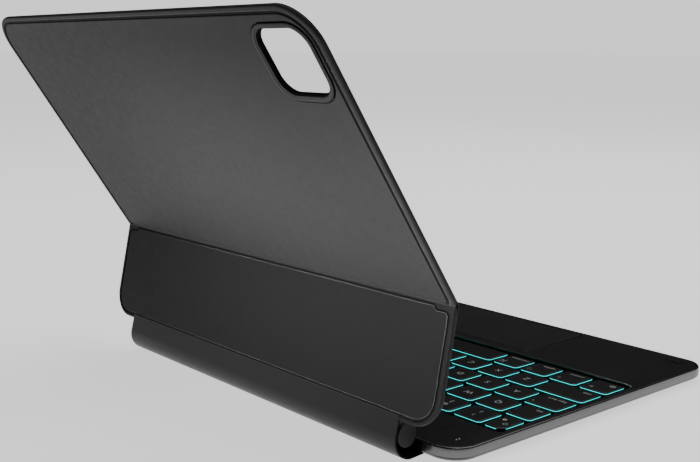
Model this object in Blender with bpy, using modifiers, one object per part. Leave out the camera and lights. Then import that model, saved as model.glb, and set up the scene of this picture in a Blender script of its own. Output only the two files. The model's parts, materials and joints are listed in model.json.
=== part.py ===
"""Tablet keyboard case: a thin keyboard base with a barrel hinge at its rear edge, a short lower
panel that stands on the barrel, and an upper panel that folds off the lower one and holds a tablet.

Run it with: blender --background --python part.py

Units are metres in the scene. The numbers below are millimetres and pass through MM.
Frame: +X is the typist's right, +Y runs from the front edge back to the hinge, +Z is up.
The origin is on the table, under the middle of the whole object.
"""

import math

import bmesh
import bpy
from mathutils import Matrix, Vector

MM = 0.001
TOP_COLLECTION = "tablet_keyboard_case"
CUTTERS_COLLECTION = "cutters"

# Clearances
GAP = 0.3                      # between neighbouring pieces
KEY_CLEARANCE = 0.35           # round each key in its hole
RUN_OUT = 2.0                  # how far a cutter passes the face it cuts

# Base
BASE_WIDTH = 250.0
BASE_FRONT_Y = -130.55
BASE_REAR_Y = 54.05
BASE_BOTTOM_Z = 1.96
BASE_TOP_Z = 7.9
FRONT_CORNER_R = 12.0
REAR_CORNER_R = 13.0
BASE_EDGE_CHAMFER = 0.5
TRAY_WALL = 1.2
TRAY_FLOOR = 0.8
FOOT_RADIUS = 5.0
FOOT_HEIGHT = 1.66
FOOT_X = 108.0
FOOT_FRONT_Y = -118.0
FOOT_REAR_Y = 26.0

# Deck and what shows in it
DECK_TOP_Z = 7.8
DECK_THICKNESS = 1.05
WELL_HALF_X = 121.6
WELL_FRONT_Y = -72.05
WELL_REAR_Y = 23.95
WELL_CORNER_R = 4.0
TRACKPAD_HALF_X = 51.2
TRACKPAD_FRONT_Y = -126.85
TRACKPAD_REAR_Y = -78.85
TRACKPAD_CORNER_R = 2.5
TRACKPAD_GLASS = 0.75
BUMPER_X = 110.9
BUMPER_Y = -122.0
BUMPER_LENGTH = 7.8
BUMPER_WIDTH = 2.4
BUMPER_PROUD = 0.4
STATUS_X = -115.15
STATUS_Y = (42.55, 40.85)
STATUS_RADIUS = 0.4

# Keys
KEY_LEFT_X = -119.05
KEY_PITCH_X = 17.72
KEY_GAP = 2.3
KEY_DEPTH = 15.6
KEY_PITCH_Y = 18.05
FIRST_ROW_REAR_Y = 19.55
KEY_TOP_Z = 7.6
KEY_BOTTOM_Z = 4.75
KEY_CORNER_R = 2.0
ROW_STARTS_X = (-106.6, -102.7, -98.0, -89.05)   # first full-width key of rows 1 to 4
ROW_COUNTS = (12, 12, 11, 10)                    # full-width keys of rows 1 to 4
SPACE_BAR_LEFT_X = -48.2
ARROW_GAP = 1.0
KEY_BAR_HEIGHT = 0.35
KEY_BAR_WIDTH = 4.0

# Sheets under the keys, as (bottom, top)
KEY_WEB_Z = (5.6, 6.5)
DOME_SHEET_Z = (3.7, 3.85)
DOME_HEIGHT = 0.65
DOME_RADIUS = 2.2
LIGHT_GUIDE_Z = (3.3, 3.45)
CABLE_Z = (2.95, 3.1)
WEB_OVERLAP = 1.6              # the web runs this far under the deck
STATUS_GUIDE_LOW_Z = 5.6

# Electronics in the base
MAIN_BOARD = (-104.0, 116.0, 27.5, 50.0)
MAIN_BOARD_Z = (3.1, 3.7)
CHIP_SINK = 0.1                # a chip's foot is this far into the board
CHIPS = (                      # X and Y span, and top height
    (-60.0, -48.0, 30.0, 37.0, 4.7), (-20.0, -8.0, 30.0, 37.0, 4.7), (30.0, 44.0, 29.0, 36.0, 4.6),
    (70.0, 76.0, 31.0, 35.0, 4.5), (98.0, 110.0, 28.0, 31.0, 4.9),
)
BATTERY_X = (56.0, 119.0)
BATTERY_Y = (-125.0, -78.0)
BATTERY_Z = (3.1, 6.35)
CABLE_HALF_X = 6.0
CABLE_Y = (-100.0, 26.5)
TRACKPAD_BOARD_HALF_X = 45.0
TRACKPAD_BOARD_INSET_Y = 5.0
TRACKPAD_BOARD_THICKNESS = 0.5
SURFACE_RECESS = 0.05          # the trackpad and the status windows sit this far below the deck

# Openings in the right side wall
USB_Y = 36.0
USB_Z = 4.85
USB_SIZE = (8.9, 3.1)
USB_X = (117.0, 124.6)
USB_WALL = 0.3
USB_MOUTH_X = (118.2, 126.0)
USB_TONGUE_X = (117.5, 123.6)
USB_TONGUE_HALF = (3.2, 0.35)
SWITCH_Y = 19.0
SWITCH_Z = 4.75
SWITCH_SLOT = (7.0, 1.9)
SWITCH_KNOB_X = (119.5, 124.9)
SWITCH_KNOB_LENGTH = 3.6
SWITCH_KNOB_HALF_Z = 0.6

# Barrel hinge: its axis runs along X
BARREL_Y = 60.15
BARREL_Z = 10.8
BARREL_R = 5.1
BARREL_HALF_X = 86.2           # the part of the barrel on the base
KNUCKLE_X = (86.6, 103.4)      # the parts of the barrel on the lower panel
CAP_X = (103.7, 104.9)
PIN_R = 1.6
PIN_X = (61.0, 102.0)
SLEEVE_R = 3.1
SLEEVE_X = (62.0, 84.0)
FLANGE_Z = (5.4, 6.3)
FLANGE_FRONT_Y = 38.0

# Panels. Depth is counted in from the outer face.
LOWER_ANGLE = math.radians(101.49)     # from the table, measured up from +Y
UPPER_ANGLE = math.radians(56.19)
OUTER_FACE_TO_BARREL = 6.345
FOLD_RISE = 55.99                      # barrel axis to fold axis, along the lower panel
FOLD_DEPTH = 1.25                      # fold axis, in from the outer face
PANEL_HALF_X = 125.2
UPPER_TOP = 135.7                      # above the fold axis
LOWER_BOTTOM = -49.9                   # below the fold axis
UPPER_CORNER_R = 17.0
LOWER_CORNER_R = 13.5
SKIN_DEPTH = (0.0, 0.65)
COVER_RIM_DEPTH = 1.6
BOARD_DEPTH = (0.9, 1.6)
LINING_DEPTH = (1.85, 2.3)
RIM_WIDTH = 2.3                        # skin beyond the board, all round
FOLD_STRIP = 3.0                       # soft skin each side of the fold
FOLD_SKIN_THICKNESS = 0.3
FOLD_HALF_X = 113.6
FOLD_KNUCKLES = 9
FOLD_KNUCKLE_R = 0.8
FOLD_BORE_R = 0.5
FOLD_PIN_R = 0.35
BOARD_TO_FOLD = 1.4                    # a board's plain edge stops this far from the fold axis
ARM_THINNING = 0.04                    # a knuckle's arm is this much inside each face of its board
SPINE_HALF_X = 105.0
SPINE_THICKNESS = 0.8
SPINE_CENTRE = (57.85, 9.5)            # of the outer bend, as (y, z)
SPINE_R = 9.2
SPINE_FRONT_Y = 34.0
SPINE_FLANGE_TOP_Z = 1.72

# Camera window in the upper panel
WINDOW_X = -104.0
WINDOW_UP = 112.5
WINDOW_INNER = 27.8
WINDOW_OUTER = 33.2
WINDOW_OUTER_R = 10.0
WINDOW_PROUD = 0.6

# Magnets in the upper panel
MAGNET_ROWS = {"left": (-118.0, -96.0), "right": (96.0, 118.0)}
MAGNET_UP = (18.0, 88.0)


# ---------------------------------------------------------------- scene and helpers

def clear_scene():
    for obj in list(bpy.data.objects):
        bpy.data.objects.remove(obj, do_unlink=True)
    for collection in list(bpy.data.collections):
        bpy.data.collections.remove(collection)


def new_collection(name):
    collection = bpy.data.collections.new(name)
    bpy.context.scene.collection.children.link(collection)
    return collection


clear_scene()
PARTS = new_collection(TOP_COLLECTION)
CUTTERS = new_collection(CUTTERS_COLLECTION)
CUTTERS.hide_render = True


def make_material(name, colour, roughness, metallic=0.0):
    material = bpy.data.materials.new(name)
    material.use_nodes = True
    shader = material.node_tree.nodes["Principled BSDF"]
    shader.inputs["Base Color"].default_value = (*colour, 1.0)
    shader.inputs["Roughness"].default_value = roughness
    shader.inputs["Metallic"].default_value = metallic
    return material


MATERIALS = {
    "skin": make_material("skin", (0.075, 0.075, 0.078), 0.6),
    "lining": make_material("lining", (0.05, 0.05, 0.055), 0.9),
    "metal": make_material("metal", (0.30, 0.30, 0.31), 0.35, 1.0),
    "steel": make_material("steel", (0.55, 0.55, 0.56), 0.3, 1.0),
    "deck": make_material("deck", (0.012, 0.012, 0.013), 0.35),
    "glass": make_material("glass", (0.02, 0.02, 0.022), 0.12),
    "key": make_material("key", (0.01, 0.01, 0.011), 0.4),
    "board": make_material("board", (0.02, 0.09, 0.05), 0.5),
    "film": make_material("film", (0.7, 0.75, 0.75), 0.3),
    "rubber": make_material("rubber", (0.02, 0.02, 0.02), 0.8),
    "barrel": make_material("barrel", (0.06, 0.06, 0.062), 0.5),
    "battery": make_material("battery", (0.25, 0.25, 0.27), 0.45),
    "magnet": make_material("magnet", (0.45, 0.45, 0.46), 0.35, 1.0),
}


def add_empty(name, parent=None, location=(0, 0, 0), angle_x=0.0):
    """A joint's empty: its X axis is the joint's axis. The location is in millimetres."""
    empty = bpy.data.objects.new(name, None)
    PARTS.objects.link(empty)
    empty.parent = parent
    empty.location = Vector(location) * MM
    empty.rotation_euler = (angle_x, 0, 0)
    return empty


def finish(obj, material, parent=None, helper=False):
    """Puts the object in its collection, under its joint's empty, with its material."""
    (CUTTERS if helper else PARTS).objects.link(obj)
    obj.parent = parent
    if helper:
        obj.hide_render = True
        obj.display_type = "WIRE"
    else:
        obj.data.materials.clear()
        obj.data.materials.append(MATERIALS[material])
    return obj


def rounded_rectangle(x0, x1, y0, y1, radius, steps=4):
    """Points of a rounded rectangle. radius is one number, or four from (x0, y0) anticlockwise."""
    radii = radius if isinstance(radius, (tuple, list)) else (radius,) * 4
    corners = ((x0, y0, 180), (x1, y0, 270), (x1, y1, 0), (x0, y1, 90))
    points = []
    for (x, y, start), r in zip(corners, radii):
        if r <= 0:
            points.append((x, y))
            continue
        centre_x = x + r if x == x0 else x - r
        centre_y = y + r if y == y0 else y - r
        for step in range(steps + 1):
            angle = math.radians(start + 90 * step / steps)
            points.append((centre_x + r * math.cos(angle), centre_y + r * math.sin(angle)))
    return points


def centred_square(x, y, size, radius, steps=4):
    half = size / 2
    return rounded_rectangle(x - half, x + half, y - half, y + half, radius, steps)


def circle(x, y, radius, sides=10):
    turn = 2 * math.pi / sides
    return [(x + radius * math.cos(i * turn), y + radius * math.sin(i * turn)) for i in range(sides)]


def plate(name, loops, low, high, material=None, parent=None, helper=False, flat=True):
    """A flat outline, with any holes, given thickness from low to high along local Z.

    With flat False the outline lies in local Y and Z and the thickness is along X.
    """
    curve = bpy.data.curves.new(name + "_outline", "CURVE")
    curve.dimensions = "2D"
    curve.fill_mode = "BOTH"
    curve.extrude = (high - low) / 2 * MM
    for loop in loops:
        spline = curve.splines.new("POLY")
        spline.points.add(len(loop) - 1)
        for point, (x, y) in zip(spline.points, loop):
            point.co = (x * MM, y * MM, 0, 1)
        spline.use_cyclic_u = True
    outline = bpy.data.objects.new(name + "_outline", curve)
    bpy.context.scene.collection.objects.link(outline)
    graph = bpy.context.evaluated_depsgraph_get()
    mesh = bpy.data.meshes.new_from_object(outline.evaluated_get(graph))
    bpy.data.objects.remove(outline, do_unlink=True)
    mesh.name = name
    mesh.transform(Matrix.Translation((0, 0, (low + high) / 2 * MM)))
    if not flat:
        turn = Matrix.Rotation(math.pi / 2, 4, "Z") @ Matrix.Rotation(math.pi / 2, 4, "X")
        mesh.transform(turn)
    weld(mesh)
    return finish(bpy.data.objects.new(name, mesh), material, parent, helper)


def weld(mesh):
    shape = bmesh.new()
    shape.from_mesh(mesh)
    bmesh.ops.remove_doubles(shape, verts=shape.verts, dist=0.00001)
    bmesh.ops.recalc_face_normals(shape, faces=shape.faces)
    shape.to_mesh(mesh)
    shape.free()


def rods(name, pieces, material=None, parent=None, helper=False, sides=24):
    """Round bars along X, each given as (x0, x1, radius, y, z). Several bars are only for helpers."""
    shape = bmesh.new()
    for x0, x1, radius, y, z in pieces:
        place = Matrix.Translation(Vector(((x0 + x1) / 2, y, z)) * MM)
        place @= Matrix.Rotation(math.pi / 2, 4, "Y")
        bmesh.ops.create_cone(
            shape, cap_ends=True, segments=sides, radius1=radius * MM, radius2=radius * MM,
            depth=abs(x1 - x0) * MM, matrix=place,
        )
    mesh = bpy.data.meshes.new(name)
    shape.to_mesh(mesh)
    shape.free()
    mesh.shade_smooth()
    mesh.set_sharp_from_angle(angle=math.radians(40))
    return finish(bpy.data.objects.new(name, mesh), material, parent, helper)


def blocks(name, boxes, material=None, parent=None, helper=False):
    """Boxes, each given as (x0, x1, y0, y1, z0, z1). Several boxes are only for helpers."""
    shape = bmesh.new()
    for x0, x1, y0, y1, z0, z1 in boxes:
        centre = Vector(((x0 + x1) / 2, (y0 + y1) / 2, (z0 + z1) / 2)) * MM
        size = Vector((abs(x1 - x0), abs(y1 - y0), abs(z1 - z0))) * MM
        place = Matrix.Translation(centre) @ Matrix.Diagonal((*size, 1))
        bmesh.ops.create_cube(shape, size=1.0, matrix=place)
    mesh = bpy.data.meshes.new(name)
    shape.to_mesh(mesh)
    shape.free()
    return finish(bpy.data.objects.new(name, mesh), material, parent, helper)


def combine(obj, other, operation):
    modifier = obj.modifiers.new(other.name, "BOOLEAN")
    modifier.operation = operation
    modifier.solver = "EXACT"
    modifier.object = other
    return obj


def cut(obj, other):
    return combine(obj, other, "DIFFERENCE")


def join(obj, other):
    return combine(obj, other, "UNION")


def both_sides(x0, x1):
    """The same stretch of X on the right and on the left, as (side name, low, high)."""
    return (("right", x0, x1), ("left", -x1, -x0))


# ---------------------------------------------------------------- joints

base_frame = add_empty("base_frame")
lower_frame = add_empty("base_hinge_axis", base_frame, (0, BARREL_Y, BARREL_Z), LOWER_ANGLE)
upper_frame = add_empty(
    "fold_hinge_axis", lower_frame,
    (0, FOLD_RISE, FOLD_DEPTH - OUTER_FACE_TO_BARREL), UPPER_ANGLE - LOWER_ANGLE,
)


def lower_depth(depth):
    """Local Z in the lower panel's frame, of a depth in from its outer face."""
    return depth - OUTER_FACE_TO_BARREL


def lower_rise(rise):
    """Local Y in the lower panel's frame, of a height above the fold axis."""
    return FOLD_RISE + rise


def upper_depth(depth):
    """Local Z in the upper panel's frame, of a depth in from its outer face."""
    return depth - FOLD_DEPTH


# ---------------------------------------------------------------- base

def base_outline(inset, steps=6):
    half = BASE_WIDTH / 2 - inset
    radii = (FRONT_CORNER_R - inset, FRONT_CORNER_R - inset, REAR_CORNER_R - inset, REAR_CORNER_R - inset)
    return rounded_rectangle(-half, half, BASE_FRONT_Y + inset, BASE_REAR_Y - inset, radii, steps)


def side_slot(y, z, width, height, radius):
    """Outline of a slot in the right side wall, in Y and Z."""
    return rounded_rectangle(y - width / 2, y + width / 2, z - height / 2, z + height / 2, radius, 3)


def build_tray():
    tray = plate("base_tray", [base_outline(0)], BASE_BOTTOM_Z, BASE_TOP_Z, "metal", base_frame)
    chamfer = tray.modifiers.new("edge_chamfer", "BEVEL")
    chamfer.width = BASE_EDGE_CHAMFER * MM
    chamfer.segments = 1
    chamfer.limit_method = "ANGLE"
    chamfer.angle_limit = math.radians(60)
    floor = BASE_BOTTOM_Z + TRAY_FLOOR
    pocket = [base_outline(TRAY_WALL)]
    cut(tray, plate("tray_pocket", pocket, floor, BASE_TOP_Z + RUN_OUT, helper=True))
    flange_slot = (
        -BARREL_HALF_X - GAP, BARREL_HALF_X + GAP, BASE_REAR_Y - TRAY_WALL - RUN_OUT,
        BASE_REAR_Y + RUN_OUT, FLANGE_Z[0] - GAP, BASE_TOP_Z + RUN_OUT,
    )
    cut(tray, blocks("tray_hinge_slot", [flange_slot], helper=True))
    wall_x = (BASE_WIDTH / 2 - 2 * TRAY_WALL, BASE_WIDTH / 2 + RUN_OUT)
    usb_hole = side_slot(USB_Y, USB_Z, USB_SIZE[0] + 2 * GAP, USB_SIZE[1] + 2 * GAP, 1.8)
    cut(tray, plate("tray_usb_hole", [usb_hole], *wall_x, helper=True, flat=False))
    switch_hole = side_slot(SWITCH_Y, SWITCH_Z, *SWITCH_SLOT, 0.9)
    cut(tray, plate("tray_switch_hole", [switch_hole], *wall_x, helper=True, flat=False))


def build_feet():
    for end, y in (("front", FOOT_FRONT_Y), ("rear", FOOT_REAR_Y)):
        for side, x in (("left", -FOOT_X), ("right", FOOT_X)):
            plate(f"foot_{end}_{side}", [circle(x, y, FOOT_RADIUS, 16)], 0, FOOT_HEIGHT, "rubber", base_frame)


def pill(x, y, length, width):
    return rounded_rectangle(
        x - length / 2, x + length / 2, y - width / 2, y + width / 2, width / 2, 3)


def build_deck():
    deck_low = DECK_TOP_Z - DECK_THICKNESS
    well = rounded_rectangle(-WELL_HALF_X, WELL_HALF_X, WELL_FRONT_Y, WELL_REAR_Y, WELL_CORNER_R)
    trackpad_hole = rounded_rectangle(
        -TRACKPAD_HALF_X - GAP, TRACKPAD_HALF_X + GAP, TRACKPAD_FRONT_Y - GAP, TRACKPAD_REAR_Y + GAP,
        TRACKPAD_CORNER_R + GAP,
    )
    loops = [base_outline(TRAY_WALL + GAP), well, trackpad_hole]
    loops += [pill(x, BUMPER_Y, BUMPER_LENGTH + 2 * GAP, BUMPER_WIDTH + 2 * GAP) for x in (-BUMPER_X, BUMPER_X)]
    loops += [circle(STATUS_X, y, STATUS_RADIUS + GAP / 2, 8) for y in STATUS_Y]
    plate("deck_plate", loops, deck_low, DECK_TOP_Z, "deck", base_frame)
    for side, x in (("left", -BUMPER_X), ("right", BUMPER_X)):
        outline = pill(x, BUMPER_Y, BUMPER_LENGTH, BUMPER_WIDTH)
        plate(f"bumper_{side}", [outline], deck_low, DECK_TOP_Z + BUMPER_PROUD, "rubber", base_frame)


def build_status_light_guide():
    """A clear block under the deck, with one small round window for each light."""
    middle = sum(STATUS_Y) / 2
    low, high = STATUS_GUIDE_LOW_Z, DECK_TOP_Z - DECK_THICKNESS - GAP
    block = rounded_rectangle(STATUS_X - 2, STATUS_X + 2, middle - 3, middle + 3, 0.5, 2)
    guide = plate("status_light_guide", [block], low, high, "film", base_frame)
    for number, y in enumerate(STATUS_Y):
        window = [circle(STATUS_X, y, STATUS_RADIUS, 8)]
        join(guide, plate(f"status_window_{number}", window, high - 0.2, DECK_TOP_Z - SURFACE_RECESS, helper=True))


def build_trackpad(frame):
    glass = rounded_rectangle(
        -TRACKPAD_HALF_X, TRACKPAD_HALF_X, TRACKPAD_FRONT_Y, TRACKPAD_REAR_Y, TRACKPAD_CORNER_R)
    glass_top = DECK_TOP_Z - SURFACE_RECESS
    glass_low = glass_top - TRACKPAD_GLASS
    plate("trackpad_glass", [glass], glass_low, glass_top, "glass", frame)
    board = rounded_rectangle(
        -TRACKPAD_BOARD_HALF_X, TRACKPAD_BOARD_HALF_X, TRACKPAD_FRONT_Y + TRACKPAD_BOARD_INSET_Y,
        TRACKPAD_REAR_Y - TRACKPAD_BOARD_INSET_Y, 1.0, 2)
    board_top = glass_low - GAP
    plate("trackpad_board", [board], board_top - TRACKPAD_BOARD_THICKNESS, board_top, "board", frame)


# ---------------------------------------------------------------- keys

def row_span_y(row):
    rear = FIRST_ROW_REAR_Y - row * KEY_PITCH_Y
    return rear - KEY_DEPTH, rear


def full_keys(start_x, count, row):
    """Full-width keys of one row, as (x0, x1, y0, y1)."""
    width = KEY_PITCH_X - KEY_GAP
    lefts = [start_x + number * KEY_PITCH_X for number in range(count)]
    return [(left, left + width, *row_span_y(row)) for left in lefts]


def row_left_key(row):
    """The key between the left margin and the first full-width key."""
    return (KEY_LEFT_X, ROW_STARTS_X[row] - KEY_GAP, *row_span_y(row))


def row_right_key(row):
    """The key between the last full-width key and the right margin."""
    return (ROW_STARTS_X[row] + ROW_COUNTS[row] * KEY_PITCH_X, -KEY_LEFT_X, *row_span_y(row))


def half_keys(x0, x1):
    """The front and the rear half of a key place in the bottom row."""
    y0, y1 = row_span_y(4)
    half = (y1 - y0 - ARROW_GAP) / 2
    return (x0, x1, y0, y0 + half), (x0, x1, y1 - half, y1)


def key_layout():
    """Single keys by name, and the full rows of keys by name."""
    width = KEY_PITCH_X - KEY_GAP
    bottom_y = row_span_y(4)
    singles = {
        "key_delete": row_right_key(0),
        "key_tab": row_left_key(1),
        "key_caps_lock": row_left_key(2),
        "key_return": row_right_key(2),
        "key_shift_left": row_left_key(3),
        "key_shift_right": row_right_key(3),
    }
    for number, name in enumerate(("globe", "control", "option_left", "command_left")):
        left = KEY_LEFT_X + number * (KEY_PITCH_X - 0.01)
        singles[f"key_{name}"] = (left, left + width, *bottom_y)
    right = -KEY_LEFT_X
    places = [right - width - number * KEY_PITCH_X for number in range(5)]
    arrow_right, arrow_middle, arrow_left, option_right, command_right = places
    singles["key_arrow_right"] = half_keys(arrow_right, arrow_right + width)[0]
    down, up = half_keys(arrow_middle, arrow_middle + width)
    singles["key_arrow_down"] = down
    singles["key_arrow_up"] = up
    singles["key_arrow_left"] = half_keys(arrow_left, arrow_left + width)[0]
    singles["key_option_right"] = (option_right, option_right + width, *bottom_y)
    singles["key_command_right"] = (command_right, command_right + width, *bottom_y)
    singles["key_space_bar"] = (SPACE_BAR_LEFT_X, command_right - KEY_GAP, *bottom_y)
    rows = {
        "keys_number_row": [row_left_key(0)] + full_keys(ROW_STARTS_X[0], ROW_COUNTS[0], 0),
        "keys_top_letters": full_keys(ROW_STARTS_X[1], ROW_COUNTS[1], 1) + [row_right_key(1)],
        "keys_home_letters": full_keys(ROW_STARTS_X[2], ROW_COUNTS[2], 2),
        "keys_bottom_letters": full_keys(ROW_STARTS_X[3], ROW_COUNTS[3], 3),
    }
    return singles, rows


SINGLE_KEYS, KEY_ROWS = key_layout()
ALL_KEYS = list(SINGLE_KEYS.values()) + [key for row in KEY_ROWS.values() for key in row]


def keycap_outline(key):
    return rounded_rectangle(*key, KEY_CORNER_R, 2)


def build_keys():
    for name, key in SINGLE_KEYS.items():
        frame = add_empty(name + "_travel", base_frame)
        plate(name, [keycap_outline(key)], KEY_BOTTOM_Z, KEY_TOP_Z, "key", frame)
    for name, keys in KEY_ROWS.items():
        frame = add_empty(name + "_travel", base_frame)
        middle_y = (keys[0][2] + keys[0][3]) / 2
        first_x = (keys[0][0] + keys[0][1]) / 2
        last_x = (keys[-1][0] + keys[-1][1]) / 2
        bar = (
            first_x, last_x, middle_y - KEY_BAR_WIDTH / 2, middle_y + KEY_BAR_WIDTH / 2,
            KEY_BOTTOM_Z, KEY_BOTTOM_Z + KEY_BAR_HEIGHT,
        )
        row = blocks(name, [bar], "key", frame)
        caps = [keycap_outline(key) for key in keys]
        join(row, plate(name + "_caps", caps, KEY_BOTTOM_Z, KEY_TOP_Z, parent=frame, helper=True))


def build_key_sheets():
    """The web that the keys stand in, the rubber domes under them and the light guide below."""
    holes = []
    for x0, x1, y0, y1 in ALL_KEYS:
        grow = KEY_CLEARANCE
        holes.append(rounded_rectangle(x0 - grow, x1 + grow, y0 - grow, y1 + grow, 0))
    web = rounded_rectangle(
        -WELL_HALF_X - WEB_OVERLAP, WELL_HALF_X + WEB_OVERLAP, WELL_FRONT_Y - WEB_OVERLAP,
        WELL_REAR_Y + WEB_OVERLAP, 2.0, 2)
    plate("key_web", [web] + holes, *KEY_WEB_Z, "deck", base_frame)
    sheet = rounded_rectangle(
        -WELL_HALF_X + 0.6, WELL_HALF_X - 0.6, WELL_FRONT_Y + 1, WELL_REAR_Y - 1, 1.0, 2)
    domes = plate("dome_sheet", [sheet], *DOME_SHEET_Z, "rubber", base_frame)
    low = DOME_SHEET_Z[1] - 0.1
    shape = bmesh.new()
    for x0, x1, y0, y1 in ALL_KEYS:
        centre = Vector(((x0 + x1) / 2, (y0 + y1) / 2, low + (DOME_HEIGHT + 0.1) / 2)) * MM
        bmesh.ops.create_cone(
            shape, cap_ends=True, segments=6, radius1=DOME_RADIUS * MM, radius2=0.6 * DOME_RADIUS * MM,
            depth=(DOME_HEIGHT + 0.1) * MM, matrix=Matrix.Translation(centre),
        )
    mesh = bpy.data.meshes.new("domes")
    shape.to_mesh(mesh)
    shape.free()
    join(domes, finish(bpy.data.objects.new("domes", mesh), None, helper=True))
    plate("light_guide", [sheet], *LIGHT_GUIDE_Z, "film", base_frame)


# ---------------------------------------------------------------- electronics in the base

def build_electronics():
    board_outline = rounded_rectangle(*MAIN_BOARD, 1.0, 2)
    board = plate("main_board", [board_outline], *MAIN_BOARD_Z, "board", base_frame)
    foot_z = MAIN_BOARD_Z[1] - CHIP_SINK
    chips = [(x0, x1, y0, y1, foot_z, top) for x0, x1, y0, y1, top in CHIPS]
    join(board, blocks("main_board_chips", chips, helper=True))
    for side, x0, x1 in both_sides(*BATTERY_X):
        cell = rounded_rectangle(x0, x1, *BATTERY_Y, 2.0, 2)
        plate(f"battery_{side}", [cell], *BATTERY_Z, "battery", base_frame)
    cable = rounded_rectangle(-CABLE_HALF_X, CABLE_HALF_X, *CABLE_Y, 0)
    plate("trackpad_cable", [cable], *CABLE_Z, "film", base_frame)

    shell = plate(
        "usb_socket", [side_slot(USB_Y, USB_Z, *USB_SIZE, 1.5)], *USB_X, "steel", base_frame, flat=False)
    mouth = side_slot(USB_Y, USB_Z, USB_SIZE[0] - 2 * USB_WALL, USB_SIZE[1] - 2 * USB_WALL, 1.2)
    cut(shell, plate("usb_mouth", [mouth], *USB_MOUTH_X, helper=True, flat=False))
    half_y, half_z = USB_TONGUE_HALF
    tongue = (*USB_TONGUE_X, USB_Y - half_y, USB_Y + half_y, USB_Z - half_z, USB_Z + half_z)
    join(shell, blocks("usb_tongue", [tongue], helper=True))


def build_switch(frame):
    """The power switch's slider, in its slot in the right side wall."""
    front = SWITCH_Y - SWITCH_SLOT[0] / 2 + GAP
    knob = (
        *SWITCH_KNOB_X, front, front + SWITCH_KNOB_LENGTH, SWITCH_Z - SWITCH_KNOB_HALF_Z,
        SWITCH_Z + SWITCH_KNOB_HALF_Z,
    )
    blocks("switch_slider", [knob], "rubber", frame)


# ---------------------------------------------------------------- barrel hinge

def build_barrel():
    axis = (BARREL_Y, BARREL_Z)
    barrel = rods("hinge_barrel", [(-BARREL_HALF_X, BARREL_HALF_X, BARREL_R, *axis)], "barrel", base_frame)
    flange = (-BARREL_HALF_X + 1, BARREL_HALF_X - 1, FLANGE_FRONT_Y, BARREL_Y, *FLANGE_Z)
    join(barrel, blocks("hinge_flange", [flange], helper=True))
    bores = [(SLEEVE_X[0] - 2, 90, SLEEVE_R + GAP, *axis), (-90, -SLEEVE_X[0] + 2, SLEEVE_R + GAP, *axis)]
    cut(barrel, rods("barrel_bores", bores, helper=True, sides=16))
    for side, x0, x1 in both_sides(*SLEEVE_X):
        sleeve = rods(f"friction_sleeve_{side}", [(x0, x1, SLEEVE_R, *axis)], "steel", base_frame, sides=16)
        bore = [(x0 - 1, x1 + 1, PIN_R + GAP, *axis)]
        cut(sleeve, rods(f"sleeve_bore_{side}", bore, helper=True, sides=16))
    for side, x0, x1 in both_sides(*PIN_X):
        rods(f"hinge_pin_{side}", [(x0, x1, PIN_R, 0, 0)], "steel", lower_frame, sides=16)
    for side, x0, x1 in both_sides(*CAP_X):
        cap = rods(f"barrel_cap_{side}", [(x0, x1, BARREL_R, 0, 0)], "barrel", lower_frame)
        inner = (PIN_X[1] + GAP, CAP_X[0] + 0.4)
        spigot = inner if side == "right" else (-inner[1], -inner[0])
        join(cap, rods(f"cap_spigot_{side}", [(*spigot, PIN_R, 0, 0)], parent=lower_frame, helper=True, sides=16))


# ---------------------------------------------------------------- fold hinge

def fold_segments():
    """The fold's knuckles along X. Even ones are on the lower panel, odd ones on the upper."""
    length = 2 * FOLD_HALF_X / FOLD_KNUCKLES
    inner = GAP / 2
    starts = [-FOLD_HALF_X + number * length for number in range(FOLD_KNUCKLES)]
    spans = [(start + inner, start + length - inner) for start in starts]
    return spans[0::2], spans[1::2]


def add_fold_knuckles(board, spans, name, frame, y, z, way, depth_z):
    """Rolls knuckles at the fold axis onto a board. way is +1 where the board is above the axis."""
    join(board, rods(name + "_rolls", [(a, b, FOLD_KNUCKLE_R, y, z) for a, b in spans],
                     parent=frame, helper=True, sides=12))
    near = y + way * (FOLD_BORE_R + FOLD_KNUCKLE_R) / 2
    far = y + way * (BOARD_TO_FOLD + FOLD_KNUCKLE_R)
    low, high = depth_z[0] + ARM_THINNING, depth_z[1] - ARM_THINNING
    arms = [(a, b, min(near, far), max(near, far), low, high) for a, b in spans]
    join(board, blocks(name + "_arms", arms, parent=frame, helper=True))
    bores = [(a - 0.1, b + 0.1, FOLD_BORE_R, y, z) for a, b in spans]
    cut(board, rods(name + "_bores", bores, parent=frame, helper=True, sides=12))


LOWER_SPANS, UPPER_SPANS = fold_segments()


# ---------------------------------------------------------------- lower panel

def lower_outline(inset, top, bottom):
    half = PANEL_HALF_X - inset
    radius = LOWER_CORNER_R - inset
    return rounded_rectangle(
        -half, half, lower_rise(bottom), lower_rise(top), (radius, radius, 0.6, 0.6), 6)


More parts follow.
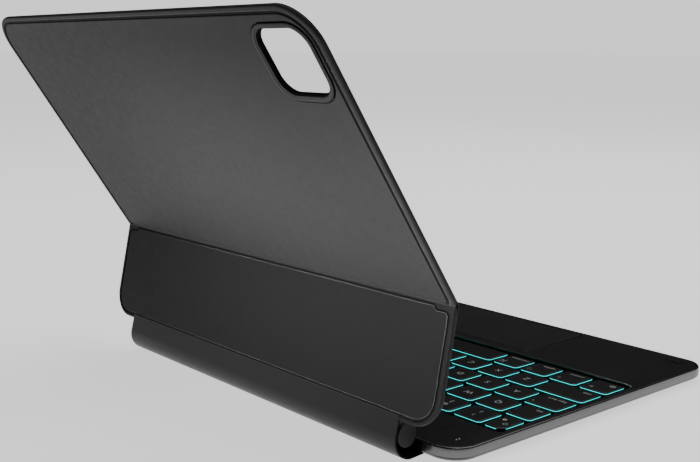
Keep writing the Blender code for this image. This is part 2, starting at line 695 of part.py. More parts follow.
def build_lower_panel():
    start = -FOLD_STRIP - GAP
    cover = plate("lower_cover", [lower_outline(0, start, LOWER_BOTTOM)], lower_depth(0),
                  lower_depth(COVER_RIM_DEPTH), "skin", lower_frame)
    pocket_depth = (lower_depth(SKIN_DEPTH[1]), lower_depth(COVER_RIM_DEPTH + RUN_OUT))
    pocket = lower_outline(RIM_WIDTH, start + RUN_OUT, LOWER_BOTTOM + RIM_WIDTH)
    cut(cover, plate("lower_pocket", [pocket], *pocket_depth, parent=lower_frame, helper=True))
    mouth_half = SPINE_HALF_X - GAP
    mouth = (-mouth_half, mouth_half, lower_rise(LOWER_BOTTOM - RUN_OUT),
             lower_rise(LOWER_BOTTOM + 2 * RIM_WIDTH), *pocket_depth)
    cut(cover, blocks("lower_pocket_mouth", [mouth], parent=lower_frame, helper=True))

    inset = RIM_WIDTH + GAP
    board_z = (lower_depth(BOARD_DEPTH[0]), lower_depth(BOARD_DEPTH[1]))
    leaf_outline = lower_outline(inset, -BOARD_TO_FOLD, LOWER_BOTTOM + inset)
    leaf = plate("lower_leaf", [leaf_outline], *board_z, "metal", lower_frame)
    arm_top = lower_rise(LOWER_BOTTOM + inset + 3)
    arm_z = (board_z[0] + ARM_THINNING, board_z[1] - ARM_THINNING)
    arms = [(x0, x1, 0, arm_top, *arm_z) for _, x0, x1 in both_sides(*KNUCKLE_X)]
    join(leaf, blocks("leaf_arms", arms, parent=lower_frame, helper=True))
    rolls = [(x0, x1, BARREL_R, 0, 0) for _, x0, x1 in both_sides(*KNUCKLE_X)]
    join(leaf, rods("leaf_knuckles", rolls, parent=lower_frame, helper=True))
    bores = [(x0 - 1, x1 + 1, PIN_R + GAP, 0, 0) for _, x0, x1 in both_sides(*KNUCKLE_X)]
    cut(leaf, rods("leaf_bores", bores, parent=lower_frame, helper=True, sides=16))
    notch = [(FOLD_HALF_X, 130.0), (-130.0, -FOLD_HALF_X)]
    notches = [(x0, x1, lower_rise(-4.2), lower_rise(5), -10, 0) for x0, x1 in notch]
    cut(leaf, blocks("leaf_notches", notches, parent=lower_frame, helper=True))
    add_fold_knuckles(leaf, LOWER_SPANS, "lower_fold", lower_frame, FOLD_RISE,
                      lower_depth(FOLD_DEPTH), -1, board_z)

    lining = lower_outline(0.2, -FOLD_KNUCKLE_R - GAP, LOWER_BOTTOM + 0.4)
    plate("lower_lining", [lining], lower_depth(LINING_DEPTH[0]), lower_depth(LINING_DEPTH[1]),
          "lining", lower_frame)
    rods("fold_pin", [(-FOLD_HALF_X, FOLD_HALF_X, FOLD_PIN_R, FOLD_RISE, lower_depth(FOLD_DEPTH))],
         "steel", lower_frame, sides=10)


# ---------------------------------------------------------------- soft skins across the hinges

def ribbon(name, points, half_x, thickness, material, parent):
    """A soft sheet along X, from a run of (y, z) points on its outer side."""
    shape = bmesh.new()
    rows = []
    for y, z in points:
        rows.append([shape.verts.new(Vector((x, y, z)) * MM) for x in (-half_x, half_x)])
    for first, second in zip(rows, rows[1:]):
        shape.faces.new((first[0], first[1], second[1], second[0]))
    mesh = bpy.data.meshes.new(name)
    shape.to_mesh(mesh)
    shape.free()
    sheet = finish(bpy.data.objects.new(name, mesh), material, parent)
    shell = sheet.modifiers.new("thickness", "SOLIDIFY")
    shell.thickness = thickness * MM
    shell.offset = 1.0
    shell.use_even_offset = True
    return sheet


def lower_point(rise, depth):
    """World (y, z) of a point of the lower panel, by height above the fold axis and depth."""
    y, z = lower_rise(rise), lower_depth(depth)
    cos_a, sin_a = math.cos(LOWER_ANGLE), math.sin(LOWER_ANGLE)
    return BARREL_Y + y * cos_a - z * sin_a, BARREL_Z + y * sin_a + z * cos_a


def build_spine_skin():
    """From under the base, back round the barrel and up to the lower panel's outer skin."""
    flange_z = SPINE_FLANGE_TOP_Z - SPINE_THICKNESS
    centre_y, centre_z = SPINE_CENTRE
    points = [(SPINE_FRONT_Y, flange_z), (BASE_REAR_Y - 6.0, flange_z)]
    first, last, steps = -90.0, math.degrees(LOWER_ANGLE) - 90.0, 12
    for step in range(steps + 1):
        angle = math.radians(first + (last - first) * step / steps)
        points.append((centre_y + SPINE_R * math.cos(angle), centre_z + SPINE_R * math.sin(angle)))
    points.append(lower_point(LOWER_BOTTOM - GAP, 0))
    ribbon("spine_skin", points, SPINE_HALF_X, SPINE_THICKNESS, "skin", base_frame)


def build_fold_skin():
    """A strip of skin in the crease, from the lower panel's skin to the upper panel's."""
    depth = lower_depth(0)
    half_angle = (math.pi - (LOWER_ANGLE - UPPER_ANGLE)) / 2
    crease = FOLD_DEPTH / math.tan(half_angle)
    turn = UPPER_ANGLE - LOWER_ANGLE
    edge_y = FOLD_STRIP * math.cos(turn) + FOLD_DEPTH * math.sin(turn)
    edge_z = FOLD_STRIP * math.sin(turn) - FOLD_DEPTH * math.cos(turn)
    fold_z = lower_depth(FOLD_DEPTH)
    points = [
        (FOLD_RISE - FOLD_STRIP, depth), (FOLD_RISE - crease, depth), (FOLD_RISE + edge_y, fold_z + edge_z)]
    ribbon("fold_skin", points, PANEL_HALF_X, FOLD_SKIN_THICKNESS, "skin", lower_frame)


# ---------------------------------------------------------------- upper panel

def upper_outline(inset, bottom):
    half = PANEL_HALF_X - inset
    radius = UPPER_CORNER_R - inset
    return rounded_rectangle(-half, half, bottom, UPPER_TOP - inset, (0.6, 0.6, radius, radius), 6)


def window_outline(size):
    radius = WINDOW_OUTER_R + (size - WINDOW_OUTER) / 2
    return centred_square(WINDOW_X, WINDOW_UP, size, radius, 5)


def build_upper_panel():
    start = FOLD_STRIP + GAP
    hole = window_outline(WINDOW_OUTER + 2 * GAP)
    cover = plate("upper_cover", [upper_outline(0, start), hole], upper_depth(0),
                  upper_depth(COVER_RIM_DEPTH), "skin", upper_frame)
    pocket = upper_outline(RIM_WIDTH, start - RUN_OUT)
    cut(cover, plate("upper_pocket", [pocket], upper_depth(SKIN_DEPTH[1]),
                     upper_depth(COVER_RIM_DEPTH + RUN_OUT), parent=upper_frame, helper=True))

    board_z = (upper_depth(BOARD_DEPTH[0]), upper_depth(BOARD_DEPTH[1]))
    board_loops = [upper_outline(RIM_WIDTH + GAP, BOARD_TO_FOLD), hole]
    board = plate("upper_board", board_loops, *board_z, "metal", upper_frame)
    magnet_holes = []
    for side, (x0, x1) in MAGNET_ROWS.items():
        magnet = [rounded_rectangle(x0, x1, *MAGNET_UP, 0.5, 2)]
        plate(f"magnet_{side}", magnet, *board_z, "magnet", upper_frame)
        magnet_holes.append((x0 - GAP, x1 + GAP, MAGNET_UP[0] - GAP, MAGNET_UP[1] + GAP, -RUN_OUT, RUN_OUT))
    cut(board, blocks("magnet_holes", magnet_holes, parent=upper_frame, helper=True))
    add_fold_knuckles(board, UPPER_SPANS, "upper_fold", upper_frame, 0, 0, 1, board_z)

    lining = upper_outline(0.2, FOLD_KNUCKLE_R + GAP)
    plate("upper_lining", [lining, hole], upper_depth(LINING_DEPTH[0]), upper_depth(LINING_DEPTH[1]),
          "lining", upper_frame)

    loops = [window_outline(WINDOW_OUTER), window_outline(WINDOW_INNER)]
    plate("camera_bezel", loops, upper_depth(-WINDOW_PROUD), upper_depth(LINING_DEPTH[1]),
          "barrel", upper_frame)


# ---------------------------------------------------------------- the whole object

trackpad_frame = add_empty("trackpad_travel", base_frame)
switch_frame = add_empty("switch_travel", base_frame)

build_tray()
build_feet()
build_deck()
build_status_light_guide()
build_trackpad(trackpad_frame)
build_keys()
build_key_sheets()
build_electronics()
build_switch(switch_frame)
build_barrel()
build_lower_panel()
build_spine_skin()
build_fold_skin()
build_upper_panel()
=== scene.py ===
"""Looks of the tablet keyboard case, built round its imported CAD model.

Lengths below are millimetres in the row frame: +X the typist's right, +Y from the front edge back to
the hinge, +Z up. A panel's own coordinates are (x, reach, depth): reach is the distance from the fold
along the panel, and depth is counted in from its outer face.
"""

import json
import math

import bmesh
import bpy
from mathutils import Matrix, Vector


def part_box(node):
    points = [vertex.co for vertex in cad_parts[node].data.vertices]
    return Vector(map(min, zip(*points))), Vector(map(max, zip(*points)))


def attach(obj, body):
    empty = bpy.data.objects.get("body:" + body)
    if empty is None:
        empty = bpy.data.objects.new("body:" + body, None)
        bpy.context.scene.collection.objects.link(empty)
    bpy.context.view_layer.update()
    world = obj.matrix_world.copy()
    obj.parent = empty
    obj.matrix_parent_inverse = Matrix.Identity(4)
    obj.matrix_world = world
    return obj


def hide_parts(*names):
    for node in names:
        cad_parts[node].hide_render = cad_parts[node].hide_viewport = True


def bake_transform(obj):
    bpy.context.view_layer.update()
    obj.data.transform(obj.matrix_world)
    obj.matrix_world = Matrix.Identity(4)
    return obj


MM = 0.001

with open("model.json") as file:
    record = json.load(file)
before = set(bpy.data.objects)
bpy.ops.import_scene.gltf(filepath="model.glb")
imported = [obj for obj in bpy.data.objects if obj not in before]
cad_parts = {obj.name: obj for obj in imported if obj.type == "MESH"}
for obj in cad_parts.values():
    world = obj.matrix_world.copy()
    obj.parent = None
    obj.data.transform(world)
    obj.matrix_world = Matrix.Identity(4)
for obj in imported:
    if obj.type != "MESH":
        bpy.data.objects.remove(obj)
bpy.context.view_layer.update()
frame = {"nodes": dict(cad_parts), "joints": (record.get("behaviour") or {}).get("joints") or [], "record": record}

# ---- places, from the frame

JOINTS = {joint["name"]: joint for joint in frame["joints"]}
BARREL_AXIS = Vector(JOINTS["base_hinge"]["pos_m"]) / MM
FOLD_AXIS = Vector(JOINTS["fold_hinge"]["pos_m"]) / MM
TABLET_FACE = next(m for m in frame["record"]["mounts"] if m["name"] == "tablet_face")

FOLD_DEPTH = 1.25                      # fold axis, in from the outer faces
OUTER_TO_BARREL = 6.345                # the lower panel's outer face, behind the barrel axis
FOLD_OFFSET = OUTER_TO_BARREL - FOLD_DEPTH
FOLD_DISTANCE = (FOLD_AXIS - BARREL_AXIS).length
UPPER_ANGLE = math.atan2(-TABLET_FACE["axis"][1], TABLET_FACE["axis"][2])
LOWER_ANGLE = (
    math.atan2(FOLD_AXIS.z - BARREL_AXIS.z, FOLD_AXIS.y - BARREL_AXIS.y)
    + math.asin(FOLD_OFFSET / FOLD_DISTANCE)
)
CREASE_REACH = FOLD_DEPTH * math.tan((LOWER_ANGLE - UPPER_ANGLE) / 2)


def node_box(node):
    """Lowest and highest corner of a CAD node, in millimetres."""
    low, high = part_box(node)
    return low / MM, high / MM


BASE_LOW, BASE_HIGH = node_box("base_tray")
DECK_LOW, DECK_HIGH = node_box("deck_plate")
WEB_LOW, WEB_HIGH = node_box("key_web")
PAD_LOW, PAD_HIGH = node_box("trackpad_glass")
PANEL_HALF_X = node_box("upper_cover")[1].x

# Base
FRONT_CORNER_R = 12.0
REAR_CORNER_R = 13.0
WALL = 1.2
FLOOR_THICKNESS = 0.8
WELL_OVERLAP = 1.6                     # the web runs this far under the deck
WELL_CORNER_R = 4.0
PAD_CORNER_R = 2.5
SEAM = 0.3                             # gap between neighbouring pieces
BARREL_NOTCH_Z = 5.1                   # bottom of the rear wall's notch for the barrel
SWITCH_SLOT_LENGTH = 6.7
SWITCH_SLOT_Z = (3.8, 5.7)
STATUS_X = -115.15
STATUS_Y = (42.55, 40.85)
STATUS_HOLE_R = 0.55

# Panels
UPPER_REACH = 135.7
LOWER_REACH = 49.9
UPPER_CORNER_R = 17.0
LOWER_CORNER_R = 13.5
SKIN = 0.65
SKIN_BACK = 0.74
RIM_WIDTH = 2.3
RIM_DEPTH = 1.8
RIM_START = 2.2                        # the rim starts this far from the fold
LINING = (1.85, 2.3)
LINING_START = 1.1                     # the linings start this far from the fold
FOLD_LINING_R = (0.84, 1.02)           # round the fold's axis
GROOVE_DEPTH = 0.5
GROOVE_INSET = 2.7
UPPER_GROOVE_WIDTH = 1.3               # times GROOVE_PROFILE's own

# Camera window
WINDOW_X = -104.0
WINDOW_REACH = 112.5
WINDOW_OUTER = 33.2
WINDOW_OUTER_R = 10.0

# The skin round the barrel
SPINE_HALF_X = 105.0
SPINE_THICKNESS = 0.8
SPINE_CENTRE = Vector((57.85, 9.5))    # (y, z) of the bend's centre
SPINE_R = 9.2
SPINE_FRONT_Y = 34.0
SPINE_BOTTOM_Z = 0.92
SPINE_SPANS = 20
SPINE_EDGE = ((0.0, 0.35), (0.08, 0.12), (0.22, 0.0), (1.0, 0.0))  # (in from the side, share thinned)
SPINE_TOP = (LOWER_REACH - 2.2, -0.03)  # (reach, depth) of its edge on the lower panel

# Keys
KEY_PITCH = 17.72
KEY_GAP = 2.3
KEY_R = 2.0
WIDE_KEY_R = 4.2                       # rear left corner of the first key in the number row
DARK_CORNER = 3.6                      # no light within this distance of that corner
RIGHT_KEYS_X = 60.0                    # words on keys beyond this are set from the right
LEGEND_LIFT = 0.002                    # middle of a letter's thickness, above the key's top
LEGEND_SINK = 0.008                    # other marks run from this far below the top
LEGEND_RISE = 0.004                    # to this far above it
LETTER_SIZE = 4.6
WORD_SIZE = 2.7


# ---- outlines

def rounded_path(corners, steps=8):
    """A closed path through corners (x, y, radius), each turned on an arc of its radius."""
    path = []
    count = len(corners)
    for number, (x, y, radius) in enumerate(corners):
        here = Vector((x, y))
        if radius <= 0:
            path.append(here)
            continue
        back = (Vector(corners[number - 1][:2]) - here).normalized()
        ahead = (Vector(corners[(number + 1) % count][:2]) - here).normalized()
        half = back.angle(ahead) / 2
        middle = (back + ahead).normalized()
        centre = here + middle * (radius / math.sin(half))
        start = here + back * (radius / math.tan(half)) - centre
        turn = start.angle_signed(here + ahead * (radius / math.tan(half)) - centre)
        for step in range(steps + 1):
            arm = start.copy()
            arm.rotate(Matrix.Rotation(-turn * step / steps, 2))
            path.append(centre + arm)
    return path


def rectangle(x0, x1, y0, y1, radius, steps=8):
    radii = radius if isinstance(radius, tuple) else (radius,) * 4
    corners = ((x0, y0), (x1, y0), (x1, y1), (x0, y1))
    return rounded_path([(x, y, r) for (x, y), r in zip(corners, radii)], steps)


def grown(path, distance):
    """The path moved outwards by a distance, for a path that runs anticlockwise."""
    moved = []
    for number, here in enumerate(path):
        before = (here - path[number - 1]).normalized()
        after = (path[(number + 1) % len(path)] - here).normalized()
        normal = Vector((before.y + after.y, -before.x - after.x)).normalized()
        stretch = max(0.5, normal.dot(Vector((after.y, -after.x))))
        moved.append(here + normal * (distance / stretch))
    return moved


def circle(x, y, radius, sides=20):
    turn = 2 * math.pi / sides
    return [Vector((x + radius * math.cos(i * turn), y + radius * math.sin(i * turn))) for i in range(sides)]


def at(path, height):
    return [Vector((p.x, p.y, height)) for p in path]


# ---- mesh helpers

PLAIN = Matrix.Scale(MM, 4)


def panel_place(angle, way):
    """Places (x, reach, depth) of a panel. way is +1 above the fold and -1 below it."""
    place = Matrix.Translation(FOLD_AXIS) @ Matrix.Rotation(angle, 4, "X")
    place = place @ Matrix.Translation((0, 0, -FOLD_DEPTH)) @ Matrix.Diagonal((1, way, 1, 1))
    return PLAIN @ place


UPPER = panel_place(UPPER_ANGLE, 1)
LOWER = panel_place(LOWER_ANGLE, -1)


def loft(shape, loops, closed=False, bands=(), around=()):
    """Faces between neighbouring loops. Returns the loops' vertices. bands gives the material between each
    pair of loops, and around, if given instead, the material at each point of a loop."""
    rows = [[shape.verts.new(point) for point in loop] for loop in loops]
    pairs = list(zip(rows, rows[1:]))
    if closed:
        pairs.append((rows[-1], rows[0]))
    for band, (first, second) in enumerate(pairs):
        for i in range(len(first)):
            j = (i + 1) % len(first)
            face = shape.faces.new((first[i], first[j], second[j], second[i]))
            if around:
                face.material_index = around[i]
            elif bands:
                face.material_index = bands[band]
    return rows


def fill(shape, rows, material=0):
    """Fills the flat area between the first loop and the others inside it."""
    edges = []
    for row in rows:
        for i in range(len(row)):
            pair = (row[i - 1], row[i])
            edges.append(shape.edges.get(pair) or shape.edges.new(pair))
    made = bmesh.ops.triangle_fill(shape, use_beauty=True, use_dissolve=False, edges=edges)
    for item in made["geom"]:
        if isinstance(item, bmesh.types.BMFace):
            item.material_index = material


def solid_loft(shape, loops, bands=(), last=0):
    """A loft with both its ends filled, the last one with the material last."""
    rows = loft(shape, loops, bands=bands)
    fill(shape, [rows[0]])
    fill(shape, [rows[-1]], last)


def close_ends(shape, rows, material=0):
    """Caps both ends of a bent sheet, whose loops run along one face of it and back along the other."""
    last = len(rows[0]) - 1
    for row in (rows[0], rows[-1]):
        for i in range(last // 2):
            face = shape.faces.new((row[i], row[i + 1], row[last - 1 - i], row[last - i]))
            face.material_index = material


def piece(name, shape, materials, body, place=PLAIN, stands_for=(), sharp=38):
    """Turns the shape into a piece that rides on a CAD body."""
    bmesh.ops.recalc_face_normals(shape, faces=shape.faces)
    bmesh.ops.transform(shape, matrix=place, verts=shape.verts)
    if place.determinant() < 0:
        bmesh.ops.reverse_faces(shape, faces=shape.faces)
    mesh = bpy.data.meshes.new(name)
    shape.to_mesh(mesh)
    shape.free()
    obj = bpy.data.objects.new(name, mesh)
    bpy.context.scene.collection.objects.link(obj)
    for material in materials:
        mesh.materials.append(material)
    mesh.shade_smooth()
    mesh.set_sharp_from_angle(angle=math.radians(sharp))
    if body:
        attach(obj, body)
    if stands_for:
        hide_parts(*stands_for)
    return obj


# ---- materials

def socket_set(shader, **values):
    for name, value in values.items():
        shader.inputs[name.replace("_", " ")].default_value = value


class Paint:
    """A Principled material whose colour, roughness and bump come from procedural textures."""

    def __init__(self, name, metallic=0.0, specular=0.5):
        self.material = bpy.data.materials.new(name)
        self.material.use_nodes = True
        self.tree = self.material.node_tree
        self.shader = self.tree.nodes["Principled BSDF"]
        self.shader.inputs["Metallic"].default_value = metallic
        self.shader.inputs["Specular IOR Level"].default_value = specular
        self.place = self.tree.nodes.new("ShaderNodeTexCoord").outputs["Object"]

    def link(self, source, target):
        self.tree.links.new(source, target)

    def stretched(self, scale):
        mapping = self.tree.nodes.new("ShaderNodeMapping")
        mapping.inputs["Scale"].default_value = scale
        self.link(self.place, mapping.inputs["Vector"])
        return mapping.outputs["Vector"]

    def noise(self, size, detail=3.0, roughness=0.55, stretch=None):
        """Noise with features of about this size in millimetres."""
        node = self.tree.nodes.new("ShaderNodeTexNoise")
        node.inputs["Scale"].default_value = 1 / (size * MM)
        node.inputs["Detail"].default_value = detail
        node.inputs["Roughness"].default_value = roughness
        self.link(self.stretched(stretch) if stretch else self.place, node.inputs["Vector"])
        return node.outputs["Fac"]

    def cells(self, size, feature="F1"):
        node = self.tree.nodes.new("ShaderNodeTexVoronoi")
        node.feature = feature
        node.inputs["Scale"].default_value = 1 / (size * MM)
        self.link(self.place, node.inputs["Vector"])
        return node.outputs["Distance"]

    def spread(self, value, low, high, from_low=0.3, from_high=0.7):
        node = self.tree.nodes.new("ShaderNodeMapRange")
        ends = {"From Min": from_low, "From Max": from_high, "To Min": low, "To Max": high}
        for name, number in ends.items():
            node.inputs[name].default_value = number
        self.link(value, node.inputs["Value"])
        return node.outputs["Result"]

    def blend(self, value, first, second, from_low=0.3, from_high=0.7):
        """A colour from first to second as the value rises."""
        ramp = self.tree.nodes.new("ShaderNodeValToRGB")
        ramp.color_ramp.elements[0].position = from_low
        ramp.color_ramp.elements[1].position = from_high
        ramp.color_ramp.elements[0].color = (*first, 1)
        ramp.color_ramp.elements[1].color = (*second, 1)
        self.link(value, ramp.inputs["Fac"])
        return ramp.outputs["Color"]

    def mix(self, factor, first, second):
        node = self.tree.nodes.new("ShaderNodeMix")
        node.data_type = "RGBA"
        self.link(factor, node.inputs["Factor"])
        for value, socket in ((first, node.inputs["A"]), (second, node.inputs["B"])):
            self.link(value, socket)
        return node.outputs["Result"]

    def edge_wear_and_highlight(self, colour, light, low=0.505, high=0.54):
        """Wear and painted highlight: the colour goes lighter along raised edges."""
        pointiness = self.tree.nodes.new("ShaderNodeNewGeometry").outputs["Pointiness"]
        raised = self.spread(pointiness, 0, 1, low, high)
        return self.mix(raised, colour, self.blend(pointiness, light, light))

    def bump(self, height, depth, previous=None):
        """A bump of about this depth in millimetres."""
        node = self.tree.nodes.new("ShaderNodeBump")
        node.inputs["Distance"].default_value = depth * MM
        node.inputs["Strength"].default_value = 1.0
        self.link(height, node.inputs["Height"])
        if previous:
            self.link(previous, node.inputs["Normal"])
        return node.outputs["Normal"]

    def finish(self, colour=None, roughness=None, normal=None):
        for value, name in ((colour, "Base Color"), (roughness, "Roughness"), (normal, "Normal")):
            if value:
                self.link(value, self.shader.inputs[name])
        return self.material


def grey(level, warmth=0.0):
    return (level * (1 + warmth), level, level * (1 - warmth))


def skin_material(name, level, specular=0.15, roughness=0.5):
    """Soft polyurethane: a fine pebbled grain, cloudy tone, and edges painted lighter, partly as wear and partly
    as painted highlight.
    """
    paint = Paint(name, specular=specular)
    socket_set(paint.shader, Sheen_Weight=0.03, Sheen_Roughness=0.45)
    tone = paint.blend(paint.noise(22, 3), grey(level * 0.96), grey(level * 1.04))
    # edges painted lighter: partly wear, partly painted highlight
    colour = paint.edge_wear_and_highlight(tone, grey(level * 1.25))
    rough = paint.spread(paint.noise(3.5, 3), roughness - 0.01, roughness + 0.06)
    grain = paint.bump(paint.cells(0.42), 0.016)
    grain = paint.bump(paint.noise(0.9, 5), 0.012, grain)
    return paint.finish(colour, rough, grain)


def lining_material():
    """Microfibre: short nap with darker strokes, soft sheen and a very fine weave."""
    paint = Paint("lining_nap", specular=0.2)
    socket_set(paint.shader, Sheen_Weight=0.5, Sheen_Roughness=0.4)
    strokes = paint.noise(9, 5, 0.65, (1.0, 0.35, 1.0))
    colour = paint.blend(strokes, (0.022, 0.022, 0.025), (0.04, 0.04, 0.044))
    nap = paint.bump(paint.noise(0.22, 2), 0.03)
    nap = paint.bump(paint.noise(1.1, 4, 0.6, (1.0, 0.5, 1.0)), 0.02, nap)
    return paint.finish(colour, paint.spread(strokes, 0.82, 0.95), nap)


def anodised_material(name, level, roughness):
    paint = Paint(name, metallic=1.0)
    colour = paint.blend(paint.noise(14, 3), grey(level * 0.95, 0.004), grey(level * 1.05, 0.004))
    # edges painted lighter: partly wear, partly painted highlight
    colour = paint.edge_wear_and_highlight(colour, grey(level * 1.4), 0.51, 0.56)
    rough = paint.spread(paint.noise(0.5, 3), roughness - 0.03, roughness + 0.04)
    return paint.finish(colour, rough, paint.bump(paint.noise(0.25, 2), 0.0002))


def moulded_material(name, level, roughness, grain=0.16, depth=0.004, specular=0.5):
    """Fine-textured moulded plastic, with faint handling marks in its gloss."""
    paint = Paint(name, specular=specular)
    colour = paint.blend(paint.noise(12, 3), grey(level * 0.9), grey(level * 1.12))
    rough = paint.spread(paint.noise(17, 5, 0.6, (1.0, 0.6, 1.0)), roughness - 0.04, roughness + 0.06)
    return paint.finish(colour, rough, paint.bump(paint.noise(grain, 2), depth))


def rubber_material(name, level):
    paint = Paint(name, specular=0.3)
    colour = paint.blend(paint.noise(1.5, 4), grey(level * 0.8), grey(level * 1.25))
    rough = paint.spread(paint.noise(0.8), 0.72, 0.88)
    return paint.finish(colour, rough, paint.bump(paint.noise(0.3, 3), 0.015))


def brushed_material(name, level, roughness):
    paint = Paint(name, metallic=1.0)
    lines = paint.noise(0.35, 2, 0.6, (0.04, 1.0, 1.0))
    colour = paint.blend(lines, grey(level * 0.85), grey(level * 1.1))
    rough = paint.spread(lines, roughness - 0.06, roughness + 0.08)
    return paint.finish(colour, rough, paint.bump(lines, 0.003))


def board_material():
    """Solder mask over tracks."""
    paint = Paint("circuit_mask")
    tracks = paint.cells(2.2, "DISTANCE_TO_EDGE")
    colour = paint.blend(tracks, (0.03, 0.16, 0.08), (0.008, 0.055, 0.026), 0.05, 0.09)
    return paint.finish(colour, paint.spread(tracks, 0.3, 0.45, 0, 0.2), paint.bump(tracks, 0.01))


def foil_material():
    paint = Paint("battery_pouch", metallic=0.7)
    creases = paint.cells(6, "DISTANCE_TO_EDGE")
    colour = paint.blend(creases, grey(0.16), grey(0.24), 0, 0.3)
    return paint.finish(colour, paint.spread(paint.noise(2), 0.3, 0.5), paint.bump(creases, 0.05))


def film_material():
    paint = Paint("light_film_clear")
    socket_set(paint.shader, Transmission_Weight=0.5)
    colour = paint.blend(paint.noise(5), (0.6, 0.68, 0.68), (0.8, 0.86, 0.86))
    return paint.finish(colour, paint.spread(paint.noise(1), 0.25, 0.4), paint.bump(paint.noise(0.5), 0.004))


def lit_material(name, first, second, strength, size):
    """Light that leaks out evenly, with a little unevenness along its run."""
    paint = Paint(name)
    colour = paint.blend(paint.noise(size, 2), first, second)
    paint.link(colour, paint.shader.inputs["Emission Color"])
    paint.shader.inputs["Emission Strength"].default_value = strength
    return paint.finish(colour, paint.spread(paint.noise(1), 0.4, 0.6))


# one skin throughout: the lower panel and the spine are painted darker than the upper panel, as painted shade; the
# spine also has its own gloss
UPPER_SKIN_PAINT = skin_material("case_skin_upper", 0.009)
LOWER_SKIN_SHADED_PAINT = skin_material("case_skin_shaded_lower", 0.005)
# painted shade: the floors of the grooves and the well round the window are painted darker than the skin
GROOVE_SHADE_PAINT = skin_material("case_skin_groove_shade", 0.003, 0.05)
# painted highlight: a light line along one lip of each groove and of the window ring
LIP_HIGHLIGHT_PAINT = skin_material("case_skin_highlight_lip", 0.035)
SPINE_SHADED_PAINT = skin_material("case_skin_shaded_spine", 0.004, 0.2, 0.36)
# the spine's inner face: dull and as dark as the spine, partly the lining inside and partly painted shade
SPINE_BACK_SHADE_PAINT = skin_material("case_skin_shaded_back", 0.004, 0.05)
# band 1 is the painted groove shade and band 2 the painted lip highlight
UPPER_PAINTS = [UPPER_SKIN_PAINT, GROOVE_SHADE_PAINT, LIP_HIGHLIGHT_PAINT]     # in the order of the bands' numbers
LOWER_PAINTS = [LOWER_SKIN_SHADED_PAINT, GROOVE_SHADE_PAINT, LIP_HIGHLIGHT_PAINT]
RING_PAINT = moulded_material("window_ring_satin", 0.01, 0.5, 0.3, 0.006, 0.2)
# painted shade: the window ring's walls are painted near black
RING_WALL_SHADE_PAINT = moulded_material("window_wall_shade", 0.002, 0.9, specular=0.03)
LINING_PAINT = lining_material()
BASE_PAINT = anodised_material("base_anodised", 0.12, 0.28)
# painted shade: the same anodised metal, darker, for the faces that look down
BASE_UNDERSIDE_SHADE_PAINT = anodised_material("base_bevel_shade", 0.04, 0.34)
DECK_PAINT = moulded_material("deck_satin", 0.004, 0.3, 0.2, 0.002, 0.4)
# painted highlight: the deck's wall round the key well is painted far lighter than the deck
WELL_WALL_HIGHLIGHT_PAINT = moulded_material("well_wall_highlight", 0.12, 0.4)
PAD_PAINT = moulded_material("trackpad_satin", 0.008, 0.22, 0.5, 0.001)
WEB_PAINT = moulded_material("key_web_matt", 0.003, 0.8, 0.3, 0.006, 0.05)
# painted highlight: the keycap's sloped top edge is painted lighter than the cap
KEY_EDGE_HIGHLIGHT_PAINT = moulded_material("key_edge_highlight", 0.05, 0.4, 0.14, 0.004, 0.3)
KEY_PAINT = moulded_material("key_satin", 0.004, 0.38, 0.14, 0.004, 0.3)
GLOW_PAINT = lit_material("key_glow", (0.0, 0.82, 0.84), (0.0, 0.95, 0.95), 1.5, 9)
LEGEND_PAINT = lit_material("legend_glow", (0.3, 0.31, 0.31), (0.4, 0.41, 0.41), 0.3, 2)
BARREL_PAINT = moulded_material("barrel_paint", 0.02, 0.5, 0.12, 0.004, 0.2)
FOOT_PAINT = rubber_material("foot_rubber_matt", 0.03)
BUMPER_PAINT = rubber_material("bumper_rubber_matt", 0.012)
STEEL_PAINT = brushed_material("steel_brushed", 0.45, 0.32)

CAD_PAINTS = {                         # for the CAD nodes that are not replaced, by material slot
    "hinge_steel": brushed_material("hinge_steel_dark", 0.09, 0.4),
    "board_metal": brushed_material("board_sheet", 0.4, 0.35),
    "magnet_plating": anodised_material("nickel_plating", 0.5, 0.22),
    "circuit_board": board_material(),
    "battery_foil": foil_material(),
    "socket_steel": STEEL_PAINT,
    "light_film": film_material(),
    "dome_rubber": rubber_material("dome_silicone", 0.25),
    "deck_plastic": WEB_PAINT,
    "barrel_coat": BARREL_PAINT,
    "switch_plastic": moulded_material("switch_satin", 0.015, 0.4),
}


def paint_cad_nodes():
    """Paints every CAD node that stays, in view or inside the case."""
    slots = {row["node"]: row["material_slot"] for row in frame["record"]["subparts"]}
    for node, obj in frame["nodes"].items():
        paint = CAD_PAINTS.get(slots[node])
        if paint:
            obj.data.materials.clear()
            obj.data.materials.append(paint)


# ---- camera and light

CAMERA_PLACE = Vector((-396.86, 345.97, 164.39))
CAMERA_AZIMUTH = math.radians(229.77)
CAMERA_ELEVATION = math.radians(7.364)
CAMERA_ROLL = math.radians(0.207)
CAMERA_LENS = 54.35
FLOOR_SIZE = 30.0
FLOOR_GLOW = 1.05
SURROUND = 1.1


def add_camera():
    data = bpy.data.cameras.new("photo_view")
    data.lens = CAMERA_LENS
    data.sensor_width = 36
    data.shift_x = 0.022
    data.shift_y = -0.065
    data.clip_start = 0.01
    data.clip_end = 50
    camera = bpy.data.objects.new("photo_view", data)
    bpy.context.scene.collection.objects.link(camera)
    flat = math.cos(CAMERA_ELEVATION)
    back = Vector((
        math.sin(CAMERA_AZIMUTH) * flat, -math.cos(CAMERA_AZIMUTH) * flat, math.sin(CAMERA_ELEVATION)))
    aim = (-back).to_track_quat("-Z", "Y").to_matrix().to_4x4()
    camera.matrix_world = Matrix.Translation(CAMERA_PLACE * MM) @ aim @ Matrix.Rotation(CAMERA_ROLL, 4, "Z")
    bpy.context.scene.camera = camera


